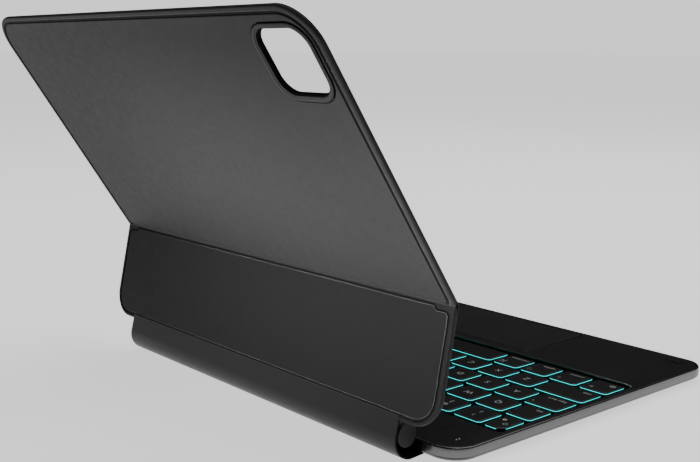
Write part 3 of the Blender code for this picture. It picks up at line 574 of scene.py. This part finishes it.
def add_area_light(name, place, aim, size, power):
    data = bpy.data.lights.new(name, "AREA")
    data.shape = "RECTANGLE"
    data.size, data.size_y = size
    data.energy = power
    light = bpy.data.objects.new(name, data)
    bpy.context.scene.collection.objects.link(light)
    light.visible_camera = False
    light.location = place
    light.rotation_euler = (Vector(aim) - Vector(place)).to_track_quat("-Z", "Y").to_euler()
    return light


def add_studio():
    """A pale floor and soft lamps, before a pale surround that lights nothing."""
    shape = bmesh.new()
    bmesh.ops.create_grid(shape, x_segments=1, y_segments=1, size=FLOOR_SIZE)
    mesh = bpy.data.meshes.new("studio_floor")
    shape.to_mesh(mesh)
    shape.free()
    floor = bpy.data.objects.new("studio_floor", mesh)
    bpy.context.scene.collection.objects.link(floor)
    paint = Paint("studio_floor", specular=0.0)
    glow = paint.blend(paint.noise(900), grey(0.97), grey(1.0))
    paint.link(glow, paint.shader.inputs["Emission Color"])
    paint.shader.inputs["Emission Strength"].default_value = FLOOR_GLOW
    mesh.materials.append(paint.finish(
        paint.blend(paint.noise(800), grey(0.78), grey(0.8)), paint.spread(paint.noise(400), 0.8, 0.9)))
    world = bpy.data.worlds.new("studio")
    world.use_nodes = True
    world.node_tree.nodes["Background"].inputs["Color"].default_value = (1, 1, 1, 1)
    world.node_tree.nodes["Background"].inputs["Strength"].default_value = SURROUND
    world.cycles_visibility.glossy = False
    world.cycles_visibility.diffuse = False
    bpy.context.scene.world = world
    add_area_light("overhead_softbox", (0.0, -0.45, 1.35), (0, -0.05, 0), (1.8, 1.8), 12)
    add_area_light("front_softbox", (1.1, -1.2, 0.42), (0.05, -0.1, 0.0), (1.2, 0.35), 0.1)
    low_fill = add_area_light("low_fill", (-0.1, 0.36, 0.015), (-0.11, 0.06, 0.085), (0.3, 0.06), 1.1)
    low_fill.data.spread = math.radians(45)
    low_fill.visible_glossy = False
    add_area_light("rear_strip", (0.75, 0.85, 0.2), (-0.1, 0.06, 0.0), (0.12, 0.5), 0.8)


# ---- panels

def panel_outline(far_reach, corner_r, inset, fold_inset=0.0, start=CREASE_REACH):
    """A panel's outline, moved in by inset, and by fold_inset along its straight edge at the fold."""
    half = PANEL_HALF_X - inset
    near = start + fold_inset
    radius = corner_r - inset
    corners = [(-half, near, 0), (half, near, 0), (half, near + RIM_START, 0)]
    corners += [(half, far_reach - inset, radius), (-half, far_reach - inset, radius)]
    corners.append((-half, near + RIM_START, 0))
    return rounded_path(corners, 14)


def tapered(path, depth):
    """The path at this depth, or at the skin's own thickness where the rim hasn't started."""
    rim_from = CREASE_REACH + 0.9 * RIM_START
    skin = SKIN - 0.02
    return [Vector((p.x, p.y, depth if p.y >= rim_from else min(depth, skin))) for p in path]


RIM_PROFILE = (                        # (inset, depth), from the pocket round to the outer face
    (RIM_WIDTH, SKIN_BACK), (RIM_WIDTH, 1.74), (RIM_WIDTH - 0.1, RIM_DEPTH), (0.5, RIM_DEPTH), (0.22, 1.72),
    (0.05, 1.52), (0.0, 1.25), (0.0, 0.8), (0.05, 0.5), (0.19, 0.22), (0.4, 0.06), (0.68, 0.0), (0.85, 0.0),
)
GROOVE_PROFILE = (                     # (distance out from the groove's middle, share of its depth)
    (0.95, 0.0), (0.8, 0.0), (0.62, 0.07), (0.46, 0.45), (0.32, 0.88), (0.0, 1.0), (-0.32, 0.88),
    (-0.46, 0.45), (-0.62, 0.07), (-0.8, 0.0), (-0.95, 0.0),
)
# paint of each groove band: 1 is painted groove shade, 2 a painted highlight along the lip, on the groove's outer
# or inner side
OUTER_HIGHLIGHT_SHADE_BANDS = (0, 2, 1, 1, 1, 1, 1, 1, 0, 0)
INNER_HIGHLIGHT_SHADE_BANDS = (0, 0, 1, 1, 1, 1, 1, 1, 2, 0)
WELL_PROFILE = (                       # (distance out from the window's hole, depth)
    (0.24, 0.0), (0.16, 0.01), (0.06, 0.08), (0.0, 0.2), (0.0, 0.55), (-0.25, 0.6), (-0.25, SKIN_BACK),
)
# band 1, the well's walls round the window, takes the painted groove shade
WELL_BANDS = (0, 1, 1, 1, 1, 1)


def skin_shape(far_reach, corner_r, groove, groove_share, groove_bands, groove_width=1.0, holes=()):
    """An outer skin with its rim turned in, a pressed groove and, in the upper one, the window."""
    shape = bmesh.new()
    loops = []
    for inset, depth in RIM_PROFILE:
        fold_inset = 0.4 if inset >= RIM_WIDTH - 0.1 else 0.0
        loops.append(tapered(panel_outline(far_reach, corner_r, inset, fold_inset), depth))
    rim = loft(shape, loops)
    pressed = []
    for distance, share in GROOVE_PROFILE:
        path = grown(groove, distance * groove_width)
        pressed.append([
            Vector((p.x, p.y, GROOVE_DEPTH * share * groove_share(middle)))
            for p, middle in zip(path, groove)
        ])
    ditch = loft(shape, pressed, bands=groove_bands)
    # groove faces keep the painted shade only where the groove is at least half deep, and the painted lip
    # highlight only where there is a groove at all
    for face in shape.faces:
        share = groove_share(face.calc_center_median())
        if face.material_index == 1 and share < 0.5 or face.material_index == 2 and share <= 0:
            face.material_index = 0
    fill(shape, [rim[-1], ditch[0]])
    wells = []
    for hole in holes:
        loops = [at(grown(hole, out), depth) for out, depth in WELL_PROFILE]
        wells.append(loft(shape, loops, bands=WELL_BANDS))
    fill(shape, [ditch[-1]] + [rows[0] for rows in wells])
    fill(shape, [rim[0]] + [rows[-1] for rows in wells])
    return shape


def window_path(size, steps=12):
    radius = WINDOW_OUTER_R + (size - WINDOW_OUTER) / 2
    half = size / 2
    return rectangle(
        WINDOW_X - half, WINDOW_X + half, WINDOW_REACH - half, WINDOW_REACH + half, radius, steps)


def upper_groove():
    half = PANEL_HALF_X - GROOVE_INSET
    return rectangle(
        -half, half, CREASE_REACH + 0.9, UPPER_REACH - GROOVE_INSET, (2.2, 2.2, 14.5, 14.5), 14)


def upper_groove_share(point):
    """The upper groove dies out where its two ends curl in along the fold."""
    if point.y > CREASE_REACH + 1.6:
        return 1.0
    return min(1.0, max(0.0, (abs(point.x) - 119.2) / 1.6))


def lower_groove():
    """Below the fold the groove drops in an S at each end of the crease, then runs round the panel."""
    near, low, far = CREASE_REACH + 0.82, 2.95, LOWER_REACH - 2.2
    half = PANEL_HALF_X - 2.6
    right = [(114.6, near, 0.85), (115.3, low, 0.95), (half, low, 2.6), (half, far, 10.4)]
    left = [(-x, y, r) for x, y, r in reversed(right)]
    return rounded_path(left + right, 10)


def lower_groove_share(point):
    """Along the bottom the groove is only a shallow line."""
    return 0.12 if point.y > LOWER_REACH - 5 and abs(point.x) < PANEL_HALF_X - 14 else 1.0


def build_upper_skin():
    hole = window_path(WINDOW_OUTER + 2 * SEAM)
    shape = skin_shape(
        UPPER_REACH, UPPER_CORNER_R, upper_groove(), upper_groove_share, OUTER_HIGHLIGHT_SHADE_BANDS, UPPER_GROOVE_WIDTH,
        [hole])
    skin = piece("upper_skin", shape, UPPER_PAINTS, None, UPPER, ["upper_cover"])
    blend_over_fold(skin)


def build_lower_skin():
    shape = skin_shape(LOWER_REACH, LOWER_CORNER_R, lower_groove(), lower_groove_share, INNER_HIGHLIGHT_SHADE_BANDS)
    skin = piece("lower_skin", shape, LOWER_PAINTS, None, LOWER, ["lower_cover", "fold_skin"])
    blend_over_fold(skin)


def blend_over_fold(skin):
    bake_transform(skin)


RING_PROFILE = (                       # (inset, depth), from the back round the outside to the inner wall
    (2.45, 2.28), (0.25, 2.28), (0.0, 2.1), (0.0, 0.2), (0.03, -0.08), (0.16, -0.32), (0.42, -0.5),
    (0.85, -0.6), (1.35, -0.6), (1.75, -0.5), (2.02, -0.28), (2.12, -0.02), (2.22, 0.16), (2.42, 0.24),
    (2.6, 0.36), (2.7, 0.6), (2.7, 2.1),
)
# band 1, the ring's outer and inner walls, takes the painted shade; band 2 takes the painted lip highlight
RING_BANDS = (0, 0, 1, 1, 1, 0, 0, 0, 0, 0, 2, 1, 1, 1, 1, 1, 1)


def build_window_ring():
    outer = window_path(WINDOW_OUTER)
    shape = bmesh.new()
    loops = [at(grown(outer, -inset), depth) for inset, depth in RING_PROFILE]
    loft(shape, loops, closed=True, bands=RING_BANDS)
    piece("window_ring", shape, [RING_PAINT, RING_WALL_SHADE_PAINT, LIP_HIGHLIGHT_PAINT], "upper_panel", UPPER,
          ["camera_bezel"])


def sheet_with_edge(paths, low, high, edge, material_walls=None):
    """A flat sheet between two heights, with its top and bottom edges rounded. The first path is the
    outline and the others are holes, all anticlockwise."""
    shape = bmesh.new()
    bottoms, tops = [], []
    for number, path in enumerate(paths):
        way = -1 if number == 0 else 1
        profile = (
            (edge * 1.4, low), (edge, low), (0.3 * edge, low + 0.3 * edge), (0.0, low + edge),
            (0.0, high - edge), (0.3 * edge, high - 0.3 * edge), (edge, high), (edge * 1.4, high),
        )
        bands = [material_walls[number]] * (len(profile) - 1) if material_walls else ()
        rows = loft(shape, [at(grown(path, way * inset), height) for inset, height in profile], bands=bands)
        bottoms.append(rows[0])
        tops.append(rows[-1])
    fill(shape, bottoms)
    fill(shape, tops)
    return shape


def build_linings():
    hole = window_path(WINDOW_OUTER + 2 * SEAM)
    upper = panel_outline(UPPER_REACH, UPPER_CORNER_R, 0.25, start=LINING_START)
    shape = sheet_with_edge([upper, hole], *LINING, 0.18)
    piece("upper_lining_nap", shape, [LINING_PAINT], "upper_panel", UPPER,
          ["upper_lining"])
    lower = panel_outline(LOWER_REACH - 0.3, LOWER_CORNER_R, 0.25, start=LINING_START)
    shape = sheet_with_edge([lower], *LINING, 0.18)
    piece("lower_lining_nap", shape, [LINING_PAINT], "lower_panel", LOWER,
          ["lower_lining"])


def build_fold_lining():
    """The strip of lining over the fold's knuckles, from one panel's lining to the other's."""
    half = PANEL_HALF_X - 0.3
    turn = LOWER_ANGLE - UPPER_ANGLE
    faces = []
    for radius in FOLD_LINING_R:
        below = [LOWER @ Vector((0, reach, FOLD_DEPTH + radius)) for reach in (1.5, 0.9, 0.4)]
        above = [UPPER @ Vector((0, reach, FOLD_DEPTH + radius)) for reach in (0.4, 0.9, 1.5)]
        bend = []
        for step in range(9):
            angle = LOWER_ANGLE - turn * step / 8 + math.pi / 2
            arm = Vector((0, math.cos(angle), math.sin(angle))) * radius
            bend.append((FOLD_AXIS + arm) * MM)
        faces.append([point / MM for point in below + bend + above])
    edge, spans = 0.1, 16
    step_x = 2 * (half - edge) / spans
    columns = [-half] + [-half + edge + step_x * i for i in range(spans + 1)] + [half]
    shape = bmesh.new()
    ring = faces[0] + faces[1][::-1]
    rows = loft(shape, [[Vector((x, point.y, point.z)) for point in ring] for x in columns])
    close_ends(shape, rows)
    strip = piece("fold_lining_strip", shape, [LINING_PAINT], None, PLAIN, ())
    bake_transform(strip)


# ---- the skin round the barrel

def spine_line():
    """The skin's outer face in (y, z): flat under the base, a bend round the barrel, up to the panel."""
    line = [Vector((SPINE_FRONT_Y + step * 1.7, SPINE_BOTTOM_Z)) for step in range(9)]
    first, last = math.radians(-90), LOWER_ANGLE - math.radians(90)
    arc = []
    for step in range(33):
        angle = first + (last - first) * step / 32
        arc.append(SPINE_CENTRE + SPINE_R * Vector((math.cos(angle), math.sin(angle))))
    for step in range(1, 6):
        line.append(line[8].lerp(arc[0], step / 6))
    line += arc
    top = (LOWER @ Vector((0, *SPINE_TOP))) / MM
    end = Vector((top.y, top.z))
    for step in range(1, 17):
        line.append(arc[-1].lerp(end, step / 16))
    return line


def build_spine():
    outer = spine_line()
    inner = []
    for number, here in enumerate(outer):
        before = outer[max(0, number - 1)]
        after = outer[min(len(outer) - 1, number + 1)]
        along = (after - before).normalized()
        inner.append(here + Vector((-along.y, along.x)) * SPINE_THICKNESS)
    shape = bmesh.new()
    flat_half = SPINE_HALF_X - SPINE_EDGE[-1][0]
    step_x = 2 * flat_half / SPINE_SPANS
    columns = [(-SPINE_HALF_X + inset, share) for inset, share in SPINE_EDGE]
    columns += [(-flat_half + step_x * i, 0.0) for i in range(1, SPINE_SPANS)]
    columns += [(SPINE_HALF_X - inset, share) for inset, share in reversed(SPINE_EDGE)]
    loops = []
    for x, share in columns:
        near = [a.lerp(b, share) for a, b in zip(outer, inner)]
        far = [b.lerp(a, share) for a, b in zip(outer, inner)]
        loops.append([Vector((x, p.x, p.y)) for p in near + far[::-1]])
    count = len(outer)
    # the inner face, the side edges and the ends take the dull back paint: partly lining, partly painted shade
    rows = loft(shape, loops, around=[0] * (count - 1) + [1] * (count + 1))
    for face in shape.faces:
        if abs(face.calc_center_median().x) > SPINE_HALF_X - 0.15:
            face.material_index = 1
    close_ends(shape, rows, 1)
    skin = piece("spine_wrap", shape, [SPINE_SHADED_PAINT, SPINE_BACK_SHADE_PAINT], None, PLAIN,
                 ["spine_skin"])
    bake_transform(skin)


# ---- base

def base_path(inset, steps=14):
    radii = tuple(r - inset for r in (FRONT_CORNER_R, FRONT_CORNER_R, REAR_CORNER_R, REAR_CORNER_R))
    return rectangle(
        BASE_LOW.x + inset, BASE_HIGH.x - inset, BASE_LOW.y + inset, BASE_HIGH.y - inset, radii, steps)


def cut_away(obj, boxes):
    """Cuts boxes, as (low, high) corners in millimetres, out of a piece and keeps the result."""
    shape = bmesh.new()
    for low, high in boxes:
        centre, size = (Vector(low) + Vector(high)) / 2, Vector(high) - Vector(low)
        place = PLAIN @ Matrix.Translation(centre) @ Matrix.Diagonal((*size, 1))
        bmesh.ops.create_cube(shape, size=1.0, matrix=place)
    mesh = bpy.data.meshes.new("cutter")
    shape.to_mesh(mesh)
    shape.free()
    cutter = bpy.data.objects.new("cutter", mesh)
    bpy.context.scene.collection.objects.link(cutter)
    modifier = obj.modifiers.new("cut", "BOOLEAN")
    modifier.operation = "DIFFERENCE"
    modifier.solver = "EXACT"
    modifier.object = cutter
    graph = bpy.context.evaluated_depsgraph_get()
    result = bpy.data.meshes.new_from_object(obj.evaluated_get(graph))
    obj.modifiers.clear()
    obj.data = result
    bpy.data.objects.remove(cutter, do_unlink=True)


def build_base_shell():
    floor_z = BASE_LOW.z + FLOOR_THICKNESS
    profile = (
        (WALL, floor_z), (WALL, 7.6), (1.12, 7.8), (0.95, 7.9), (0.62, 7.9), (0.42, 7.84), (0.1, 7.48),
        (0.0, 7.25), (0.0, 3.75), (0.08, 3.45), (0.3, 3.2), (1.35, 2.15), (1.6, 2.0), (1.9, BASE_LOW.z),
    )
    shape = bmesh.new()
    # the lower rounding, the chamfer and the underside, which face down, take the darker paint: painted shade
    bands = [0] * 8 + [1] * 5
    solid_loft(shape, [at(base_path(inset), z) for inset, z in profile], bands, 1)
    shell = piece("base_shell", shape, [BASE_PAINT, BASE_UNDERSIDE_SHADE_PAINT], "base", PLAIN,
                  ["base_tray"])
    barrel_half = node_box("hinge_barrel")[1].x + SEAM
    usb_low, usb_high = node_box("usb_socket")
    switch_low = node_box("switch_slider")[0]
    slot_low, slot_high = SWITCH_SLOT_Z
    outside_x, outside_y = BASE_HIGH.x + WALL, BASE_HIGH.y + WALL
    cut_away(shell, [
        ((-barrel_half, BASE_HIGH.y - 2 * WALL, BARREL_NOTCH_Z),
         (barrel_half, outside_y, BASE_HIGH.z + WALL)),
        ((usb_low.x, usb_low.y - SEAM, usb_low.z - SEAM), (outside_x, usb_high.y + SEAM, usb_high.z + SEAM)),
        ((BASE_HIGH.x - 2 * WALL, switch_low.y - SEAM, slot_low),
         (outside_x, switch_low.y + SWITCH_SLOT_LENGTH, slot_high)),
    ])


def build_deck():
    outline = base_path(WALL + SEAM)
    inset = WELL_OVERLAP
    well = rectangle(
        WEB_LOW.x + inset, WEB_HIGH.x - inset, WEB_LOW.y + inset, WEB_HIGH.y - inset, WELL_CORNER_R)
    pad = rectangle(
        PAD_LOW.x - SEAM, PAD_HIGH.x + SEAM, PAD_LOW.y - SEAM, PAD_HIGH.y + SEAM, PAD_CORNER_R + SEAM)
    holes = [well, pad]
    for side in ("left", "right"):
        low, high = node_box(f"bumper_{side}")
        half = (high.y - low.y) / 2 + SEAM
        holes.append(rectangle(low.x - SEAM, high.x + SEAM, low.y - SEAM, high.y + SEAM, half - 0.001, 6))
    for y in STATUS_Y:
        holes.append(circle(STATUS_X, y, STATUS_HOLE_R, 16))
    # the key well's walls take the lighter paint: painted highlight
    walls = [0, 1] + [0] * (len(holes) - 1)
    shape = sheet_with_edge([outline] + holes, DECK_LOW.z, DECK_HIGH.z, 0.16, walls)
    piece("deck_surface", shape, [DECK_PAINT, WELL_WALL_HIGHLIGHT_PAINT], "base", PLAIN, ["deck_plate"])


def build_status_lights():
    shape = bmesh.new()
    for y in STATUS_Y:
        profile = ((0.4, 6.9), (0.4, 7.66), (0.3, 7.76), (0.12, 7.79))
        solid_loft(shape, [at(circle(STATUS_X, y, radius, 16), z) for radius, z in profile])
    piece("status_lights", shape, [LEGEND_PAINT], "base", PLAIN, ())


def build_bumpers():
    for side in ("left", "right"):
        low, high = node_box(f"bumper_{side}")
        path = rectangle(low.x, high.x, low.y, high.y, (high.y - low.y) / 2 - 0.001, 8)
        top = high.z
        profile = ((0, low.z), (0, top - 0.35), (0.12, top - 0.14), (0.36, top - 0.02), (0.7, top))
        shape = bmesh.new()
        solid_loft(shape, [at(grown(path, -inset), z) for inset, z in profile])
        piece(f"bumper_pad_{side}", shape, [BUMPER_PAINT], "base", PLAIN, [f"bumper_{side}"])


def build_feet():
    for end in ("front", "rear"):
        for side in ("left", "right"):
            node = f"foot_{end}_{side}"
            low, high = node_box(node)
            middle = (low + high) / 2
            radius = (high.x - low.x) / 2
            profile = (
                (radius, high.z), (radius, 0.45), (radius - 0.12, 0.16), (radius - 0.45, 0.0),
                (radius - 1.2, 0.0), (radius - 1.35, 0.14), (radius - 1.6, 0.14), (radius - 1.75, 0.0),
                (0.6, 0.0),
            )
            shape = bmesh.new()
            solid_loft(shape, [at(circle(middle.x, middle.y, r, 32), z) for r, z in profile])
            piece(f"{node}_pad", shape, [FOOT_PAINT], "base", PLAIN, [node])


def build_trackpad():
    path = rectangle(PAD_LOW.x, PAD_HIGH.x, PAD_LOW.y, PAD_HIGH.y, PAD_CORNER_R, 10)
    shape = sheet_with_edge([path], PAD_LOW.z, PAD_HIGH.z, 0.14)
    piece("trackpad_surface", shape, [PAD_PAINT], "trackpad", PLAIN, ["trackpad_glass"])


# ---- barrel

def build_barrel_caps():
    for side in ("left", "right"):
        low, high = node_box(f"barrel_cap_{side}")
        way = 1 if side == "right" else -1
        face = high.x if side == "right" else low.x
        inner = low.x if side == "right" else high.x
        radius = (high.z - low.z) / 2
        profile = (
            (1.6, inner), (1.6, inner + way * 0.9), (radius - 0.1, inner + way * 0.9),
            (radius, inner + way * 1.0), (radius, face - way * 0.4), (radius - 0.1, face - way * 0.14),
            (radius - 0.35, face), (radius - 0.8, face), (radius - 0.95, face - way * 0.05),
            (radius - 1.1, face - way * 0.05), (0.5, face - way * 0.05),
        )
        loops = []
        for r, x in profile:
            ring = circle(BARREL_AXIS.y, BARREL_AXIS.z, r, 40)
            loops.append([Vector((x, p.x, p.y)) for p in ring])
        shape = bmesh.new()
        solid_loft(shape, loops)
        piece(f"barrel_end_{side}", shape, [BARREL_PAINT], "lower_panel", PLAIN,
              [f"barrel_cap_{side}"])


# ---- keys

KEY_TOP = node_box("key_space_bar")[1].z
SKIRT_Z = KEY_TOP - 0.44
GLOW_LOW_Z = KEY_TOP - 0.74
CAP_PROFILE = (                        # (inset, height)
    (0.75, 4.9), (0.75, SKIRT_Z - 0.01), (0.06, SKIRT_Z - 0.01), (0.0, SKIRT_Z + 0.03),
    (0.06, SKIRT_Z + 0.12), (0.7, KEY_TOP - 0.07), (0.85, KEY_TOP - 0.025), (1.05, KEY_TOP - 0.01),
    (1.3, KEY_TOP - 0.01),
)
# band 1, the sloped edge round the key's top, takes the painted highlight
CAP_BANDS = (0, 0, 0, 0, 0, 1, 0, 0)
GLOW_PROFILE = (
    (0.03, GLOW_LOW_Z), (0.0, GLOW_LOW_Z + 0.1), (0.0, SKIRT_Z - 0.05), (0.03, SKIRT_Z - 0.02),
    (0.7, SKIRT_Z - 0.02), (0.7, GLOW_LOW_Z),
)


def key_path(x0, x1, y0, y1, rear_left=KEY_R):
    return rectangle(x0, x1, y0, y1, (KEY_R, KEY_R, KEY_R, rear_left), 7)


def row_spans(node, count, extra=None):
    """The X spans of a row's keys, from the row's box: count full keys, and one more at an end."""
    low, high = node_box(node)
    full = KEY_PITCH - KEY_GAP
    start = high.x + KEY_GAP - count * KEY_PITCH if extra == "first" else low.x
    spans = [(start + i * KEY_PITCH, start + i * KEY_PITCH + full) for i in range(count)]
    if extra == "first":
        spans.insert(0, (low.x, start - KEY_GAP))
    if extra == "last":
        spans.append((start + count * KEY_PITCH, high.x))
    return [(x0, x1, low.y, high.y) for x0, x1 in spans]


def single(node):
    low, high = node_box(node)
    return [(low.x, high.x, low.y, high.y)]


def build_key_body(body, node, keys, corner_key=False):
    """Caps and the ring of light under each. With corner_key, the first has a wide, unlit rear corner."""
    caps, glows = bmesh.new(), bmesh.new()
    for number, key in enumerate(keys):
        wide = corner_key and number == 0
        path = key_path(*key, WIDE_KEY_R if wide else KEY_R)
        solid_loft(caps, [at(grown(path, -inset), z) for inset, z in CAP_PROFILE], CAP_BANDS)
        loft(glows, [at(grown(path, -inset), z) for inset, z in GLOW_PROFILE], closed=True)
        if wide:
            corner = Vector((key[0], key[3]))
            dark = [f for f in glows.faces if (f.calc_center_median().xy - corner).length < DARK_CORNER]
            bmesh.ops.delete(glows, geom=dark, context="FACES")
            bmesh.ops.holes_fill(glows, edges=[e for e in glows.edges if e.is_boundary])
    piece(f"{node}_cap", caps, [KEY_PAINT, KEY_EDGE_HIGHLIGHT_PAINT], body, PLAIN, [node])
    piece(f"{node}_glow", glows, [GLOW_PAINT], body, PLAIN, ())


def legend_mesh(text, size):
    """Letters as flat polygons centred on the origin, in millimetres."""
    curve = bpy.data.curves.new("legend", "FONT")
    curve.body = text
    curve.size = size
    curve.resolution_u = 3
    curve.align_x = "CENTER"
    curve.align_y = "CENTER"
    curve.extrude = 0.006
    letters = bpy.data.objects.new("legend", curve)
    bpy.context.scene.collection.objects.link(letters)
    graph = bpy.context.evaluated_depsgraph_get()
    mesh = bpy.data.meshes.new_from_object(letters.evaluated_get(graph))
    bpy.data.objects.remove(letters, do_unlink=True)
    return mesh


class Legends:
    """All the marks on one key body."""

    def __init__(self):
        self.shape = bmesh.new()

    def text(self, text, x, y, size):
        mesh = legend_mesh(text, size)
        mesh.transform(Matrix.Translation((x, y, KEY_TOP + LEGEND_LIFT)))
        self.shape.from_mesh(mesh)
        bpy.data.meshes.remove(mesh)

    def band(self, outer, inner):
        low, high = KEY_TOP - LEGEND_SINK, KEY_TOP + LEGEND_RISE
        loops = [at(outer, low), at(outer, high), at(inner, high), at(inner, low)]
        loft(self.shape, loops, closed=True)

    def disc(self, path):
        solid_loft(self.shape, [at(path, KEY_TOP - LEGEND_SINK), at(path, KEY_TOP + LEGEND_RISE)])

    def ring(self, x, y, radius, width=0.28):
        self.band(circle(x, y, radius), circle(x, y, radius - width))

    def globe(self, x, y, radius=1.5):
        self.ring(x, y, radius)
        self.band(oval(x, y, 0.55 * radius, radius - 0.1), oval(x, y, 0.55 * radius - 0.22, radius - 0.32))
        bar = rectangle(x - radius + 0.2, x + radius - 0.2, y - 0.11, y + 0.11, 0.05, 2)
        self.disc(bar)

    def arrow(self, x, y, turn, size=1.1):
        points = [Vector(corner) * size for corner in ((0.9, 0.0), (-0.6, 0.8), (-0.6, -0.8))]
        for point in points:
            point.rotate(Matrix.Rotation(math.radians(turn), 2))
        self.disc([Vector((x, y)) + point for point in points])


def oval(x, y, half_x, half_y):
    return [Vector((x + (p.x - x) * half_x, y + (p.y - y) * half_y)) for p in circle(x, y, 1.0)]


def middle_of(key):
    return (key[0] + key[1]) / 2, (key[2] + key[3]) / 2


def build_keys():
    rows = (
        ("keys_number_row", row_spans("keys_number_row", 12, "first"), " 1234567890-=", " !@#$%^&*()_+"),
        ("keys_top_letters", row_spans("keys_top_letters", 12, "last"), "QWERTYUIOP[]\\", ""),
        ("keys_home_letters", row_spans("keys_home_letters", 11), "ASDFGHJKL;'", ""),
        ("keys_bottom_letters", row_spans("keys_bottom_letters", 10), "ZXCVBNM,./", ""),
    )
    for node, keys, marks, shifted in rows:
        body = f"{node}_body"
        build_key_body(body, node, keys, corner_key=node == "keys_number_row")
        legends = Legends()
        for number, (key, mark) in enumerate(zip(keys, marks)):
            x, y = middle_of(key)
            if shifted and number:
                legends.text(mark, x, y - 2.4, 3.6)
                legends.text(shifted[number], x, y + 2.6, 3.4)
            elif mark != " ":
                legends.text(mark, x, y, LETTER_SIZE)
        if shifted:
            x, y = middle_of(keys[0])
            legends.ring(x - 1.6, y + 1.5, 1.15)
            legends.disc(circle(x + 2.0, y - 2.6, 0.95))
        piece(f"{node}_legends", legends.shape, [LEGEND_PAINT], body, PLAIN, ())

    words = {
        "key_delete": "delete", "key_tab": "tab", "key_caps_lock": "caps lock", "key_return": "return",
        "key_shift_left": "shift", "key_shift_right": "shift", "key_globe": "fn", "key_control": "control",
        "key_option_left": "option", "key_command_left": "command", "key_option_right": "option",
        "key_command_right": "command",
    }
    arrows = {"key_arrow_left": 180, "key_arrow_up": 90, "key_arrow_down": -90, "key_arrow_right": 0}
    for node in (*words, "key_space_bar", *arrows):
        body = f"{node}_body"
        key = single(node)[0]
        build_key_body(body, node, [key])
        if node == "key_space_bar":
            continue
        legends = Legends()
        x, y = middle_of(key)
        if node in arrows:
            legends.arrow(x, y, arrows[node])
        else:
            add_word(legends, node, words[node], key)
        piece(f"{node}_legends", legends.shape, [LEGEND_PAINT], body, PLAIN, ())


def add_word(legends, node, word, key):
    """A word at the key's front outer corner, and its symbol, if it has one, at the rear inner one."""
    right_side = key[0] > RIGHT_KEYS_X
    reach = len(word) * WORD_SIZE * 0.27 + 2.0
    if node == "key_globe":
        legends.globe(key[0] + 4.0, key[2] + 4.3)
        legends.text("fn", key[1] - 4.2, key[3] - 4.4, WORD_SIZE)
        return
    x = key[1] - reach if right_side else key[0] + reach
    legends.text(word, x, key[2] + 3.7, WORD_SIZE)
    symbol_x = key[0] + 3.6 if right_side else key[1] - 3.6
    symbol_y = key[3] - 4.0
    if node == "key_caps_lock":
        legends.disc(circle(symbol_x + 0.6, symbol_y + 0.3, 0.5, 14))
    elif "control" in node:
        legends.text("^", symbol_x, symbol_y - 0.6, 3.6)
    elif "option" in node:
        for low_y, x0, x1 in ((0.9, -1.6, -0.4), (0.9, 0.3, 1.6), (-0.9, 0.3, 1.6)):
            y = symbol_y + low_y
            legends.disc(rectangle(symbol_x + x0, symbol_x + x1, y - 0.14, y + 0.14, 0.06, 2))
    elif "command" in node:
        outer, inner = (
            rectangle(symbol_x - half, symbol_x + half, symbol_y - half, symbol_y + half, radius, 3)
            for half, radius in ((0.75, 0.2), (0.5, 0.08)))
        legends.band(outer, inner)
        for side_x in (-1, 1):
            for side_y in (-1, 1):
                legends.ring(symbol_x + side_x * 1.2, symbol_y + side_y * 1.2, 0.52, 0.22)


# ---- all of it

add_camera()
add_studio()
paint_cad_nodes()
build_upper_skin()
build_lower_skin()
build_window_ring()
build_linings()
build_fold_lining()
build_spine()
build_base_shell()
build_deck()
build_status_lights()
build_bumpers()
build_feet()
build_trackpad()
build_barrel_caps()
build_keys()
